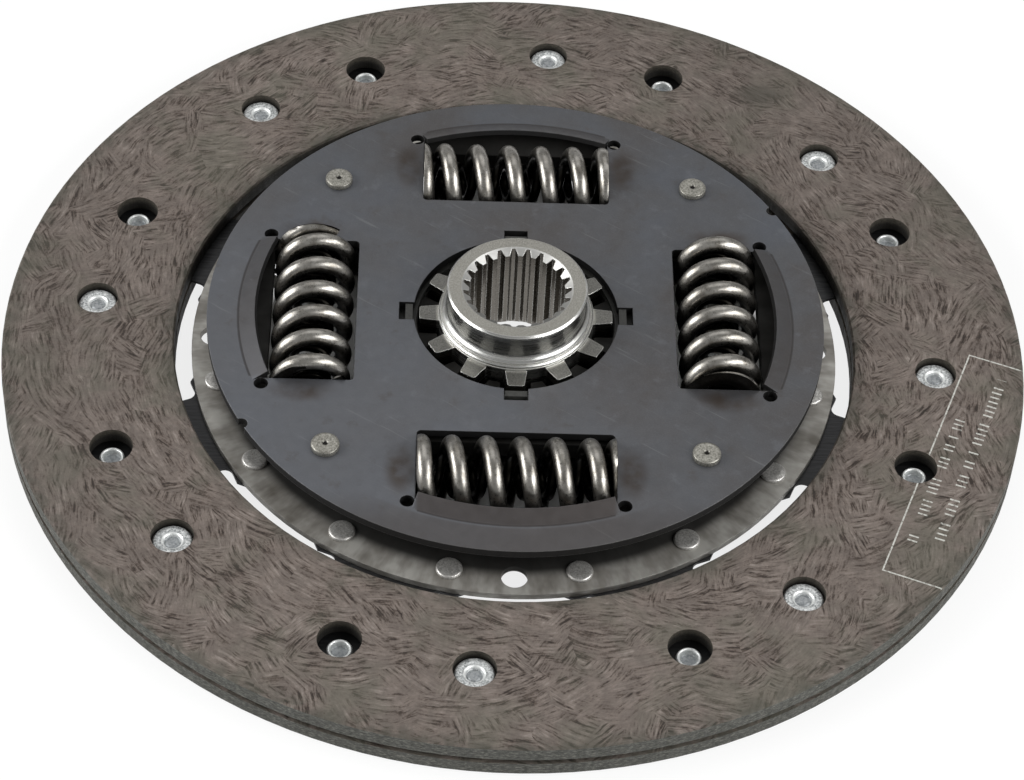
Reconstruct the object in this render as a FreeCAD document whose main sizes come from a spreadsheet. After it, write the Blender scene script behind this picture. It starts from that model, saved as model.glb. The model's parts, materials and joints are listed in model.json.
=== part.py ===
import FreeCAD, Part
import math
import os
import re
import Sketcher

# Driving dimensions of the clutch disc, in millimetres and degrees.
# The origin lies on the disc's axis, half way between the two friction faces.
# +Z points to the gearbox side. Each radius is measured from the disc's axis.
SIZES = {
    # friction facings
    "facing_outer_radius": 120.0,
    "facing_carrier_clearance": 4.0,
    "facing_thickness": 3.8,
    "facing_edge_break": 0.4,
    "facing_rivet_inset": 19.3,
    "facing_seat": 1.1,
    "counterbore_radius": 4.85,
    "access_radius": 4.95,
    "first_shallow_angle": -5.0,
    "first_deep_angle": 22.5,
    # rivets of the facings
    "rivet_shank_radius": 2.0,
    "rivet_hole_play": 0.05,
    "rivet_head_radius": 4.5,
    "rivet_head_thickness": 1.0,
    "rivet_head_bevel": 0.4,
    "rivet_eye_radius": 1.9,
    "rivet_eye_depth": 1.3,
    "rivet_bore_radius": 1.2,
    "rivet_funnel_depth": 0.8,
    "rivet_curl_radius": 2.9,
    "rivet_curl_height": 1.1,
    # cushion segments between the facings
    "segment_count": 8,
    "segment_sheet": 0.7,
    "segment_wave": 0.7,
    "segment_outer_setback": 2.5,
    "segment_inner_setback": 1.5,
    "segment_pad_angle": 43.4,
    "segment_flat_half": 17.0,
    "segment_ramp": 7.0,
    "segment_neck_half": 11.5,
    "segment_foot_half": 18.5,
    "segment_foot_inset": 4.2,
    "segment_foot_setback": 1.0,
    "segment_flare": 2.0,
    # carrier plate on the flywheel side
    "carrier_rim": 2.3,
    "carrier_sheet": 1.6,
    "carrier_rivet_clearance": 1.9,
    "carrier_rivet_spread": 10.65,
    "carrier_rivet_head_radius": 3.0,
    "carrier_rivet_head_height": 1.0,
    "carrier_rivet_head_bevel": 0.35,
    "carrier_hole_clearance": 2.2,
    "carrier_hole_radius": 3.0,
    "dish_clearance": 2.0,
    "dish_ramp": 2.4,
    "dish_depth": 2.5,
    # cover plate on the gearbox side
    "cover_rim": 6.4,
    "cover_sheet": 2.0,
    "cover_hub_clearance": 1.4,
    "cover_notch_clearance": 1.5,
    "cover_notch_width": 5.6,
    "edge_notch_radius": 1.5,
    "edge_notch_angle": 30.5,
    # spring windows of both plates, with their outward lips
    "window_count": 4,
    "window_ring_clearance": 1.3,
    "window_end_gap": 0.1,
    "window_corner_radius": 1.0,
    "lip_spring_clearance": 7.5,
    "lip_lean": 3.6,
    "lip_rise": 1.6,
    "lip_sheet": 1.2,
    "relief_hole_radius": 1.65,
    "relief_hole_inset": 1.4,
    "relief_hole_offset": 1.7,
    # spacer rivets that hold the two plates apart
    "spacer_inset": 3.85,
    "spacer_radius": 4.0,
    "spacer_neck_radius": 3.0,
    "spacer_head_radius": 3.25,
    "spacer_head_height": 1.4,
    "spacer_head_bevel": 0.5,
    "spacer_dimple_radius": 0.8,
    "spacer_dimple_depth": 0.4,
    # hub flange between the plates
    "carrier_gap": 2.1,
    "flange_thickness": 4.4,
    "cover_gap": 1.8,
    "flange_rim": 8.5,
    "flange_window_clearance": 0.4,
    "damper_travel": 8.0,
    "damper_stop_play": 0.35,
    "flange_notch_clearance": 0.6,
    "idle_travel": 3.0,
    "idle_stop_play": 0.45,
    # main damper springs
    "spring_window_clearance": 0.8,
    "spring_rise": 2.1,
    "spring_length": 44.8,
    "spring_outer_radius": 9.5,
    "spring_wire": 3.9,
    "spring_pitch": 7.8,
    "inner_spring_outer_radius": 5.1,
    "inner_spring_wire": 2.4,
    "inner_spring_pitch": 5.2,
    "inner_spring_end_gap": 0.3,
    # idle damper springs and their drive plate
    "idle_pocket_wall": 4.8,
    "idle_spring_outer_radius": 2.5,
    "idle_spring_wire": 0.8,
    "idle_spring_pitch": 2.0,
    "idle_spring_length": 10.4,
    "idle_spring_rise": 0.2,
    "idle_pocket_play": 0.2,
    "idle_plate_rim": 1.8,
    "idle_plate_sheet": 1.5,
    # hub
    "hub_low": -4.0,
    "hub_high": 20.9,
    "hub_neck_radius": 16.1,
    "hub_rim_radius": 16.4,
    "hub_rim_height": 1.0,
    "hub_rim_chamfer": 0.45,
    "hub_collar_radius": 18.0,
    "hub_collar_top": 13.2,
    "hub_collar_step": 0.6,
    "hub_fillet": 1.8,
    "hub_journal_radius": 18.2,
    "hub_foot_chamfer": 0.6,
    "hub_tooth_count": 12,
    "hub_tooth_radius": 22.6,
    "hub_tooth_width": 5.0,
    "hub_tooth_tip_width": 4.0,
    "hub_tooth_corner": 0.6,
    "hub_tooth_top": 11.5,
    "hub_tooth_lift": 0.2,
    "spline_teeth": 23,
    "spline_minor_radius": 11.2,
    "spline_major_radius": 12.65,
    "spline_mouth_width": 1.95,
    "spline_floor_width": 0.85,
    "spline_foot_chamfer": 1.5,
    "spline_mouth_flare": 0.35,
    "spline_mouth_depth": 1.2,
    # running and fitting clearances round the hub
    "tooth_root_clearance": 0.6,
    "tooth_tip_clearance": 0.4,
    "plate_fit": 0.08,
    "bush_running_fit": 0.08,
    # plastic bush and friction rings
    "bush_wall": 1.8,
    "bush_plate_fit": 0.05,
    "bush_flange_clearance": 0.8,
    "bush_step_clearance": 1.0,
    "bush_spring_clearance": 0.4,
    "bush_tail": 0.8,
    "peg_inset": 2.1,
    "peg_radius": 1.5,
    "peg_fit": 0.05,
    "ring_hub_clearance": 0.7,
    "ring_overhang": 1.0,
    "ring_thickness": 1.0,
    "tab_setback": 0.2,
    "tab_thickness": 1.7,
    "tab_side_play": 0.2,
    "tab_below_top": 0.4,
    "disc_spring_tab_clearance": 2.1,
    "disc_spring_setback": 0.5,
    "disc_spring_sheet": 0.45,
}

# Levels along the axis, as expressions of the driving dimensions.
FACING_GAP = "(segment_sheet + segment_wave)"
CARRIER_LOW = "(segment_sheet - segment_wave) / 2"
CARRIER_TOP = f"({CARRIER_LOW} + carrier_sheet)"
FLANGE_LOW = f"({CARRIER_TOP} + carrier_gap)"
FLANGE_TOP = f"({FLANGE_LOW} + flange_thickness)"
COVER_LOW = f"({FLANGE_TOP} + cover_gap)"
COVER_TOP = f"({COVER_LOW} + cover_sheet)"
SPRING_LEVEL = f"({FLANGE_LOW} + flange_thickness / 2 + spring_rise)"
DISH_FLOOR = f"({CARRIER_TOP} - dish_depth)"
IDLE_PLATE_LOW = f"({FLANGE_LOW} - idle_plate_sheet)"
IDLE_SPRING_LEVEL = f"({FLANGE_LOW} + idle_spring_rise)"

# How far a cutting outline, or the root of a tooth, runs past the face that it meets.
OVERRUN = "1"

# Spans that several pieces share.
WINDOW_HALF = "(spring_length / 2 + window_end_gap)"
IDLE_POCKET_HALF_LENGTH = "(idle_spring_length / 2 + idle_pocket_play / 2)"
IDLE_POCKET_HALF_WIDTH = "(idle_spring_outer_radius + idle_pocket_play)"

# Radii from the hub outward: each piece goes round the one before it with its own clearance.
BUSH_OUTER = "(hub_journal_radius + bush_running_fit + bush_wall)"
PEG_CIRCLE = f"({BUSH_OUTER} + peg_inset + peg_radius)"
COVER_HOLE = "(hub_tooth_radius + cover_hub_clearance)"
TAB_INNER = f"({COVER_HOLE} + tab_setback)"
TAB_OUTER = f"({TAB_INNER} + tab_thickness)"
DISC_SPRING_INNER = f"({TAB_OUTER} + disc_spring_tab_clearance)"
IDLE_CIRCLE = f"(hub_tooth_radius + tooth_tip_clearance + idle_pocket_wall + {IDLE_POCKET_HALF_WIDTH})"
IDLE_PLATE_RADIUS = f"({IDLE_CIRCLE} + {IDLE_POCKET_HALF_WIDTH} + idle_plate_rim)"
DISH_RADIUS = f"({IDLE_PLATE_RADIUS} - dish_clearance)"
RING_OUTER = f"({IDLE_PLATE_RADIUS} + ring_overhang)"
WINDOW_INNER = f"({RING_OUTER} + window_ring_clearance)"
SPRING_CIRCLE = f"({WINDOW_INNER} + spring_window_clearance + spring_outer_radius)"
FLANGE_WINDOW_OUTER = f"({SPRING_CIRCLE} + spring_outer_radius + flange_window_clearance)"
FLANGE_RADIUS = f"({FLANGE_WINDOW_OUTER} + flange_rim)"
LIP_BASE = f"({SPRING_CIRCLE} + spring_outer_radius + lip_spring_clearance)"
LIP_EDGE = f"({LIP_BASE} - lip_lean)"
SPACER_CIRCLE = f"({LIP_BASE} - spacer_inset)"
COVER_RADIUS = f"({LIP_BASE} + lip_sheet + cover_rim)"
CARRIER_RIVET_CIRCLE = f"({LIP_BASE} + lip_sheet + carrier_rivet_clearance + carrier_rivet_head_radius)"
CARRIER_HOLE_CIRCLE = f"({LIP_BASE} + lip_sheet + carrier_hole_clearance + carrier_hole_radius)"
CARRIER_RADIUS = f"({CARRIER_RIVET_CIRCLE} + carrier_rivet_head_radius + carrier_rim)"
SEGMENT_FOOT_END = f"({CARRIER_RADIUS} - segment_foot_setback)"
FACING_INNER = f"({CARRIER_RADIUS} + facing_carrier_clearance)"
SEGMENT_PAD_START = f"({FACING_INNER} + segment_inner_setback)"
SEGMENT_OUTER = "(facing_outer_radius - segment_outer_setback)"
FACING_RIVET_CIRCLE = f"({FACING_INNER} + facing_rivet_inset)"

# The ends of the coil springs: closed turns at each end, their pitch in wire diameters,
# and the share of a wire diameter that is left of both ground ends together.
CLOSED_TURNS = 0.75
CLOSED_COIL_SPACING = 1.05
GROUND_SHARE = 0.5

document = FreeCAD.newDocument("clutch_disc")
sheet = document.addObject("Spreadsheet::Sheet", "Sizes")
nodes = []


def fill_sheet():
    """Writes each driving dimension into the sheet under its own name."""
    for row, (name, size) in enumerate(SIZES.items(), start=1):
        sheet.set(f"A{row}", name)
        sheet.set(f"B{row}", str(size))
        sheet.setAlias(f"B{row}", name)
    document.recompute()


def bound(text):
    """An expression with each dimension spelled as the sheet's own cell."""
    return re.sub(r"[a-z][a-z_]+", lambda word: "Sizes." + word[0] if word[0] in SIZES else word[0], text)


def number(text):
    """The present value of an expression."""
    return float(FreeCAD.Units.Quantity(str(sheet.evalExpression(text))).Value)


def new_body(label, listed=True):
    """A piece of its own; only listed pieces are written out as nodes."""
    body = document.addObject("PartDesign::Body", label)
    body.Label = label
    if listed:
        nodes.append(body)
    return body


def new_sketch(body, level="0", plane="XY_Plane"):
    """A sketch on one of the body's own planes, raised along its normal."""
    sketch = body.newObject("Sketcher::SketchObject", body.Name + "_sketch")
    support = next(item for item in body.Origin.OriginFeatures if item.Role == plane)
    sketch.AttachmentSupport = (support, [""])
    sketch.MapMode = "FlatFace"
    sketch.setExpression("AttachmentOffset.Base.z", bound(level))
    return sketch


def tie(sketch, geometry, position, x, y):
    """Fixes a sketch point by two expressions, measured from the origin."""
    for kind, text in (("DistanceX", x), ("DistanceY", y)):
        index = sketch.addConstraint(Sketcher.Constraint(kind, geometry, position, number(text)))
        sketch.setExpression(f"Constraints[{index}]", bound(text))


def set_radius(sketch, geometry, radius):
    """Ties the radius of a circle or an arc to an expression."""
    index = sketch.addConstraint(Sketcher.Constraint("Radius", geometry, number(radius)))
    sketch.setExpression(f"Constraints[{index}]", bound(radius))


def circle(sketch, radius, x="0", y="0"):
    """A circle with its centre at x, y."""
    centre = FreeCAD.Vector(number(x), number(y), 0)
    ring = Part.Circle(centre, FreeCAD.Vector(0, 0, 1), number(radius))
    geometry = sketch.addGeometry(ring, False)
    tie(sketch, geometry, 3, x, y)
    set_radius(sketch, geometry, radius)


def arc_between(start, end, radius, side):
    """An anticlockwise arc over the chord; side 1 bulges to the right of the way from start to end.

    Gives the arc and the positions, 1 or 2, that its start and end points have on it."""
    chord = end - start
    right = FreeCAD.Vector(chord.y, -chord.x, 0).normalize()
    reach = math.sqrt(radius**2 - (chord.Length / 2) ** 2)
    centre = (start + end) / 2 - right * reach * side
    first = math.atan2(start.y - centre.y, start.x - centre.x)
    last = math.atan2(end.y - centre.y, end.x - centre.x)
    ring = Part.Circle(centre, FreeCAD.Vector(0, 0, 1), radius)
    if side > 0:
        return Part.ArcOfCircle(ring, first, last), (1, 2)
    return Part.ArcOfCircle(ring, last, first), (2, 1)


def outline(sketch, corners):
    """A closed outline through corners (x, y), each tied to expressions.

    A corner with a third and fourth entry starts an arc of that radius, which
    bulges to the right (1) or to the left (-1) of the way to the next corner."""
    points = [FreeCAD.Vector(number(corner[0]), number(corner[1]), 0) for corner in corners]
    edges = []
    for index, corner in enumerate(corners):
        start = points[index]
        end = points[(index + 1) % len(points)]
        if len(corner) == 2:
            shape, ends = Part.LineSegment(start, end), (1, 2)
        else:
            shape, ends = arc_between(start, end, number(corner[2]), corner[3])
        edges.append((sketch.addGeometry(shape, False), ends))
    for index, (geometry, ends) in enumerate(edges):
        following, following_ends = edges[(index + 1) % len(edges)]
        joint = Sketcher.Constraint("Coincident", geometry, ends[1], following, following_ends[0])
        sketch.addConstraint(joint)
    for (geometry, ends), corner in zip(edges, corners):
        tie(sketch, geometry, ends[0], corner[0], corner[1])
        if len(corner) == 4:
            set_radius(sketch, geometry, corner[2])


def rectangle(sketch, low_x, high_x, half_width):
    """A rectangle that lies evenly on both sides of the x axis."""
    outline(
        sketch,
        [
            (low_x, f"-({half_width})"),
            (high_x, f"-({half_width})"),
            (high_x, half_width),
            (low_x, half_width),
        ],
    )


def feature(body, kind, sketch):
    """A new feature of the body, made from one sketch."""
    item = body.newObject("PartDesign::" + kind, body.Name + "_" + kind.lower())
    item.Profile = sketch
    return item


def pad(body, sketch, height):
    """Adds material upward from the sketch."""
    item = feature(body, "Pad", sketch)
    item.setExpression("Length", bound(height))
    return item


def pocket(body, sketch, depth=None, upward=False):
    """Cuts down from the sketch, or up, or both ways through everything."""
    item = feature(body, "Pocket", sketch)
    if depth is None:
        item.Type = "ThroughAll"
        item.Midplane = True
    else:
        item.setExpression("Length", bound(depth))
        item.Reversed = upward
    return item


def turn(body, corners, angle=None):
    """Revolves an outline of (radius, height) corners about the disc's axis."""
    sketch = new_sketch(body, plane="XZ_Plane")
    outline(sketch, corners)
    item = feature(body, "Revolution", sketch)
    item.ReferenceAxis = (sketch, ["V_Axis"])
    item.Angle = 360
    if angle is not None:
        item.Midplane = True
        item.setExpression("Angle", bound(angle))
    return item


def repeat(body, items, count):
    """Repeats features evenly round the disc's axis."""
    document.recompute()
    pattern = body.newObject("PartDesign::PolarPattern", body.Name + "_pattern")
    pattern.Originals = items
    pattern.Axis = (items[0].Profile[0], ["N_Axis"])
    pattern.Angle = 360
    pattern.setExpression("Occurrences", bound(count))
    body.Tip = pattern
    return pattern


def polar(radius, angle):
    """The x and y expressions of a point at a radius and an angle in degrees."""
    return f"({radius}) * cos({angle})", f"({radius}) * sin({angle})"


def turned_by(angle, offset=(0, 0, 0)):
    """A placement that turns a piece about the disc's axis after moving it."""
    rotation = FreeCAD.Rotation(FreeCAD.Vector(0, 0, 1), angle)
    return FreeCAD.Placement(rotation.multVec(FreeCAD.Vector(*offset)), rotation)


def copies(label, master, placements):
    """One node that holds a copy of the master piece at each placement."""
    solids = [master.copy() for _ in placements]
    for solid, placement in zip(solids, placements):
        solid.Placement = placement.multiply(solid.Placement)
    node = document.addObject("Part::Feature", label)
    node.Label = label
    node.Shape = Part.makeCompound(solids) if len(solids) > 1 else solids[0]
    nodes.append(node)
    return node


def facing(label, side):
    """A friction ring, counterbored from its rubbing face at every second rivet."""
    body = new_body(label)
    inner_face = f"{side} * {FACING_GAP} / 2"
    rubbing_face = f"{side} * ({FACING_GAP} / 2 + facing_thickness)"
    broken_edge = f"{side} * ({FACING_GAP} / 2 + facing_thickness - facing_edge_break)"
    turn(
        body,
        [
            (FACING_INNER, inner_face),
            ("facing_outer_radius", inner_face),
            ("facing_outer_radius", broken_edge),
            ("facing_outer_radius - facing_edge_break", rubbing_face),
            (f"{FACING_INNER} + facing_edge_break", rubbing_face),
            (FACING_INNER, broken_edge),
        ],
    )
    own_angle, other_angle = "first_shallow_angle", "first_deep_angle"
    if side < 0:
        own_angle, other_angle = other_angle, own_angle
    head_seat = new_sketch(body, rubbing_face)
    circle(head_seat, "counterbore_radius", *polar(FACING_RIVET_CIRCLE, own_angle))
    seat = pocket(body, head_seat, "facing_thickness - facing_seat", upward=side < 0)
    shank_hole = new_sketch(body)
    circle(shank_hole, "rivet_shank_radius + rivet_hole_play", *polar(FACING_RIVET_CIRCLE, own_angle))
    shank = pocket(body, shank_hole)
    access_hole = new_sketch(body)
    circle(access_hole, "access_radius", *polar(FACING_RIVET_CIRCLE, other_angle))
    access = pocket(body, access_hole)
    repeat(body, [seat, shank, access], "segment_count")


def facing_rivet_master():
    """A semi-tubular rivet, head up, with its head's seat at height 0."""
    body = new_body("facing_rivet_pattern_piece", listed=False)
    clamp = "(facing_seat + segment_sheet)"
    curl = "rivet_curl_height / 2"
    turn(
        body,
        [
            ("rivet_bore_radius", f"-({clamp} + rivet_curl_height - rivet_funnel_depth)"),
            ("rivet_shank_radius", f"-({clamp} + rivet_curl_height)"),
            (f"rivet_curl_radius - {curl}", f"-({clamp} + rivet_curl_height)", curl, 1),
            ("rivet_curl_radius", f"-({clamp} + rivet_curl_height - {curl})"),
            ("rivet_curl_radius", f"-{clamp}"),
            ("rivet_shank_radius", f"-{clamp}"),
            ("rivet_shank_radius", "0"),
            ("rivet_head_radius", "0"),
            ("rivet_head_radius", "rivet_head_thickness - rivet_head_bevel"),
            ("rivet_head_radius - rivet_head_bevel", "rivet_head_thickness"),
            ("rivet_eye_radius", "rivet_head_thickness"),
            ("rivet_eye_radius", "rivet_head_thickness - rivet_eye_depth"),
            ("rivet_bore_radius", "rivet_head_thickness - rivet_eye_depth"),
        ],
    )
    document.recompute()
    return body.Shape


def facing_rivets():
    """Two sets of rivets, one for each facing, with their heads in the counterbores."""
    rivet = facing_rivet_master()
    circle_radius = number(FACING_RIVET_CIRCLE)
    seat = number(f"{FACING_GAP} / 2 + facing_seat")
    count = int(number("segment_count"))
    step = 360 / count
    upright = [
        turned_by(number("first_shallow_angle") + step * index, (circle_radius, 0, seat))
        for index in range(count)
    ]
    inverted = FreeCAD.Placement(FreeCAD.Vector(), FreeCAD.Rotation(FreeCAD.Vector(1, 0, 0), 180))
    hanging = [
        turned_by(number("first_deep_angle") + step * index, (circle_radius, 0, -seat)).multiply(inverted)
        for index in range(count)
    ]
    copies("facing_rivets_gearbox_side", rivet, upright)
    copies("facing_rivets_flywheel_side", rivet, hanging)


def segment_master():
    """A cushion segment along +X: foot, neck and a pad waved across its width."""
    body = new_body("cushion_segment_pattern_piece", listed=False)
    low = f"-{FACING_GAP} / 2"
    foot_start = f"{CARRIER_RIVET_CIRCLE} - segment_foot_inset"
    foot = new_sketch(body, low)
    outline(
        foot,
        [
            (foot_start, "-(segment_foot_half - segment_flare)"),
            (f"{SEGMENT_FOOT_END} - segment_flare", "-segment_foot_half"),
            (SEGMENT_FOOT_END, "-(segment_foot_half - segment_flare)"),
            (SEGMENT_FOOT_END, "-(segment_neck_half + segment_flare)", "segment_flare", -1),
            (f"{SEGMENT_FOOT_END} + segment_flare", "-segment_neck_half"),
            (f"{SEGMENT_PAD_START} - segment_flare", "-segment_neck_half", "segment_flare", -1),
            (SEGMENT_PAD_START, "-(segment_neck_half + segment_flare)"),
            (SEGMENT_PAD_START, "segment_neck_half + segment_flare", "segment_flare", -1),
            (f"{SEGMENT_PAD_START} - segment_flare", "segment_neck_half"),
            (f"{SEGMENT_FOOT_END} + segment_flare", "segment_neck_half", "segment_flare", -1),
            (SEGMENT_FOOT_END, "segment_neck_half + segment_flare"),
            (SEGMENT_FOOT_END, "segment_foot_half - segment_flare"),
            (f"{SEGMENT_FOOT_END} - segment_flare", "segment_foot_half"),
            (foot_start, "segment_foot_half - segment_flare"),
        ],
    )
    pad(body, foot, "segment_sheet")
    # the waved pad: a bent strip seen along the radius, pulled outward along +X
    strip = new_sketch(body, SEGMENT_PAD_START, plane="YZ_Plane")
    edge = f"{SEGMENT_OUTER} * sin(segment_pad_angle / 2)"
    ramp_end = "segment_flat_half + segment_ramp"
    outline(
        strip,
        [
            (f"-{edge}", f"{low} + segment_wave"),
            (f"-({ramp_end})", f"{low} + segment_wave"),
            ("-segment_flat_half", low),
            ("segment_flat_half", low),
            (ramp_end, f"{low} + segment_wave"),
            (edge, f"{low} + segment_wave"),
            (edge, f"{low} + segment_wave + segment_sheet"),
            (ramp_end, f"{low} + segment_wave + segment_sheet"),
            ("segment_flat_half", f"{low} + segment_sheet"),
            ("-segment_flat_half", f"{low} + segment_sheet"),
            (f"-({ramp_end})", f"{low} + segment_wave + segment_sheet"),
            (f"-{edge}", f"{low} + segment_wave + segment_sheet"),
        ],
    )
    pad(body, strip, f"{SEGMENT_OUTER} - {SEGMENT_PAD_START}")
    # trim the pad to its sector
    trim = new_sketch(body)
    far = f"({SEGMENT_OUTER} + {OVERRUN})"
    side_start = polar(SEGMENT_PAD_START, "segment_pad_angle / 2")
    side_end = polar(SEGMENT_OUTER, "segment_pad_angle / 2")
    mirrored = [(side_start[0], f"-({side_start[1]})"), (side_end[0], f"-({side_end[1]})")]
    outline(
        trim,
        [
            mirrored[0],
            (*mirrored[1], SEGMENT_OUTER, 1),
            side_end,
            side_start,
            (side_start[0], far),
            (far, far),
            (far, f"-{far}"),
            (side_start[0], f"-{far}"),
        ],
    )
    pocket(body, trim)
    holes = new_sketch(body)
    own_hole = "rivet_shank_radius + rivet_hole_play"
    circle(holes, own_hole, *polar(FACING_RIVET_CIRCLE, "0"))
    shallow_offset = "first_shallow_angle + 360 / segment_count - first_deep_angle"
    circle(holes, own_hole, *polar(FACING_RIVET_CIRCLE, shallow_offset))
    for sign in ("", "-"):
        circle(holes, own_hole, *polar(CARRIER_RIVET_CIRCLE, f"{sign}carrier_rivet_spread"))
    pocket(body, holes)
    document.recompute()
    return body.Shape


def cushion_segments():
    """The ring of separate cushion segments."""
    segment = segment_master()
    count = int(number("segment_count"))
    for index in range(count):
        angle = number("first_deep_angle") + 360 / count * index
        copies(f"cushion_segment_{index + 1}", segment, [turned_by(angle)])


def window(body):
    """A spring window along +X with a straight inner edge, round inner corners and an arc outside."""
    corner_out = f"{WINDOW_INNER} + window_corner_radius"
    corner_half = f"({WINDOW_HALF} - window_corner_radius)"
    opening = new_sketch(body)
    outline(
        opening,
        [
            (corner_out, f"-{WINDOW_HALF}"),
            (f"sqrt({LIP_BASE}^2 - {WINDOW_HALF}^2)", f"-{WINDOW_HALF}", LIP_BASE, 1),
            (f"sqrt({LIP_BASE}^2 - {WINDOW_HALF}^2)", WINDOW_HALF),
            (corner_out, WINDOW_HALF, "window_corner_radius", 1),
            (WINDOW_INNER, corner_half),
            (WINDOW_INNER, f"-{corner_half}", "window_corner_radius", 1),
        ],
    )
    return pocket(body, opening)


def relief_holes(body):
    """The two round holes where a window's sides meet its lip."""
    sketch = new_sketch(body)
    beside = f"({WINDOW_HALF} + relief_hole_offset)"
    reach = f"({LIP_BASE} - relief_hole_inset)"
    for sign in ("", "-"):
        circle(sketch, "relief_hole_radius", f"sqrt({reach}^2 - {beside}^2)", f"{sign}{beside}")
    return pocket(body, sketch)


def lip(body, face, side):
    """A bent lip along a window's outer edge, leaning inward and away from the flange.

    face is the plate's outer face and side is 1 for a lip that rises, -1 for one that hangs."""
    slope = "sqrt(lip_lean^2 + lip_rise^2)"
    back = f"lip_sheet * lip_rise / {slope}"
    under = f"lip_sheet * lip_lean / {slope}"
    reach = f"asin({WINDOW_HALF} / ({LIP_BASE} - lip_lean / 2))"
    return turn(
        body,
        [
            (f"{LIP_BASE} + lip_sheet", face),
            (LIP_BASE, face),
            (LIP_EDGE, f"{face} + {side} * lip_rise"),
            (f"{LIP_EDGE} - {back}", f"{face} + {side} * (lip_rise - {under})"),
            (f"{LIP_BASE} - {back}", f"{face} - {side} * {under}"),
            (f"{LIP_BASE} + lip_sheet", f"{face} - {side} * {under}"),
        ],
        angle=f"2 * {reach}",
    )


def spacer_hole(body):
    """A hole for the neck of a spacer rivet, half way between two windows."""
    sketch = new_sketch(body)
    centre = polar(SPACER_CIRCLE, "180 / window_count")
    circle(sketch, "spacer_neck_radius + rivet_hole_play", *centre)
    return pocket(body, sketch)


def cover_plate():
    """The gearbox side plate with its windows, raised lips and notched centre hole."""
    body = new_body("cover_plate")
    disc = new_sketch(body, COVER_LOW)
    circle(disc, COVER_RADIUS)
    circle(disc, COVER_HOLE)
    pad(body, disc, "cover_sheet")
    notch = new_sketch(body)
    notch_floor = f"{TAB_OUTER} + cover_notch_clearance"
    rectangle(notch, f"{COVER_HOLE} - {OVERRUN}", notch_floor, "cover_notch_width / 2")
    cuts = [window(body), relief_holes(body), spacer_hole(body), pocket(body, notch)]
    repeat(body, cuts, "window_count")
    rising = lip(body, COVER_TOP, 1)
    repeat_lips(body, rising)
    marks = new_sketch(body)
    for angle in ("edge_notch_angle", "edge_notch_angle - 180"):
        circle(marks, "edge_notch_radius", *polar(COVER_RADIUS, angle))
    pocket(body, marks)


def repeat_lips(body, first):
    """Repeats a window's lip at every window."""
    document.recompute()
    pattern = body.newObject("PartDesign::PolarPattern", body.Name + "_lips")
    pattern.Originals = [first]
    pattern.Axis = (first.Profile[0], ["V_Axis"])
    pattern.Angle = 360
    pattern.setExpression("Occurrences", bound("window_count"))
    body.Tip = pattern


def carrier_plate():
    """The flywheel side plate: dished at its centre, with windows and hanging lips."""
    body = new_body("carrier_plate")
    bush_hole = f"{BUSH_OUTER} + bush_plate_fit"
    lean = "carrier_sheet * tan(atan(dish_depth / dish_ramp) / 2)"
    turn(
        body,
        [
            (bush_hole, f"{CARRIER_LOW} - dish_depth"),
            (DISH_RADIUS, f"{CARRIER_LOW} - dish_depth"),
            (f"{DISH_RADIUS} + dish_ramp", CARRIER_LOW),
            (CARRIER_RADIUS, CARRIER_LOW),
            (CARRIER_RADIUS, CARRIER_TOP),
            (f"{DISH_RADIUS} + dish_ramp - {lean}", CARRIER_TOP),
            (f"{DISH_RADIUS} - {lean}", DISH_FLOOR),
            (bush_hole, DISH_FLOOR),
        ],
    )
    open_hole = new_sketch(body)
    circle(open_hole, "carrier_hole_radius", CARRIER_HOLE_CIRCLE, "0")
    peg_hole = new_sketch(body)
    circle(peg_hole, "peg_radius + peg_fit", PEG_CIRCLE, "0")
    cuts = [
        window(body),
        relief_holes(body),
        spacer_hole(body),
        pocket(body, open_hole),
        pocket(body, peg_hole),
    ]
    repeat(body, cuts, "window_count")
    hanging = lip(body, CARRIER_LOW, -1)
    repeat_lips(body, hanging)
    rivet_holes = new_sketch(body)
    for sign in ("+", "-"):
        place = polar(CARRIER_RIVET_CIRCLE, f"first_deep_angle {sign} carrier_rivet_spread")
        circle(rivet_holes, "rivet_shank_radius + rivet_hole_play", *place)
    repeat(body, [pocket(body, rivet_holes)], "segment_count")


def segment_rivets():
    """The rivets that hold the segments' feet under the carrier plate, two to a segment."""
    body = new_body("segment_rivet_pattern_piece", listed=False)
    head = "carrier_rivet_head_height"
    rim = "carrier_rivet_head_radius - carrier_rivet_head_bevel"
    clamp = "(carrier_sheet + segment_sheet)"
    turn(
        body,
        [
            ("0", f"-({clamp} + {head})"),
            (rim, f"-({clamp} + {head})"),
            ("carrier_rivet_head_radius", f"-({clamp} + {head} - carrier_rivet_head_bevel)"),
            ("carrier_rivet_head_radius", f"-{clamp}"),
            ("rivet_shank_radius", f"-{clamp}"),
            ("rivet_shank_radius", "0"),
            ("carrier_rivet_head_radius", "0"),
            ("carrier_rivet_head_radius", f"{head} - carrier_rivet_head_bevel"),
            (rim, head),
            ("0", head),
        ],
    )
    document.recompute()
    count = int(number("segment_count"))
    spread = number("carrier_rivet_spread")
    place = (number(CARRIER_RIVET_CIRCLE), 0, number(CARRIER_TOP))
    placements = [
        turned_by(number("first_deep_angle") + 360 / count * index + turn_away, place)
        for index in range(count)
        for turn_away in (-spread, spread)
    ]
    copies("segment_rivets", body.Shape, placements)


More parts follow.
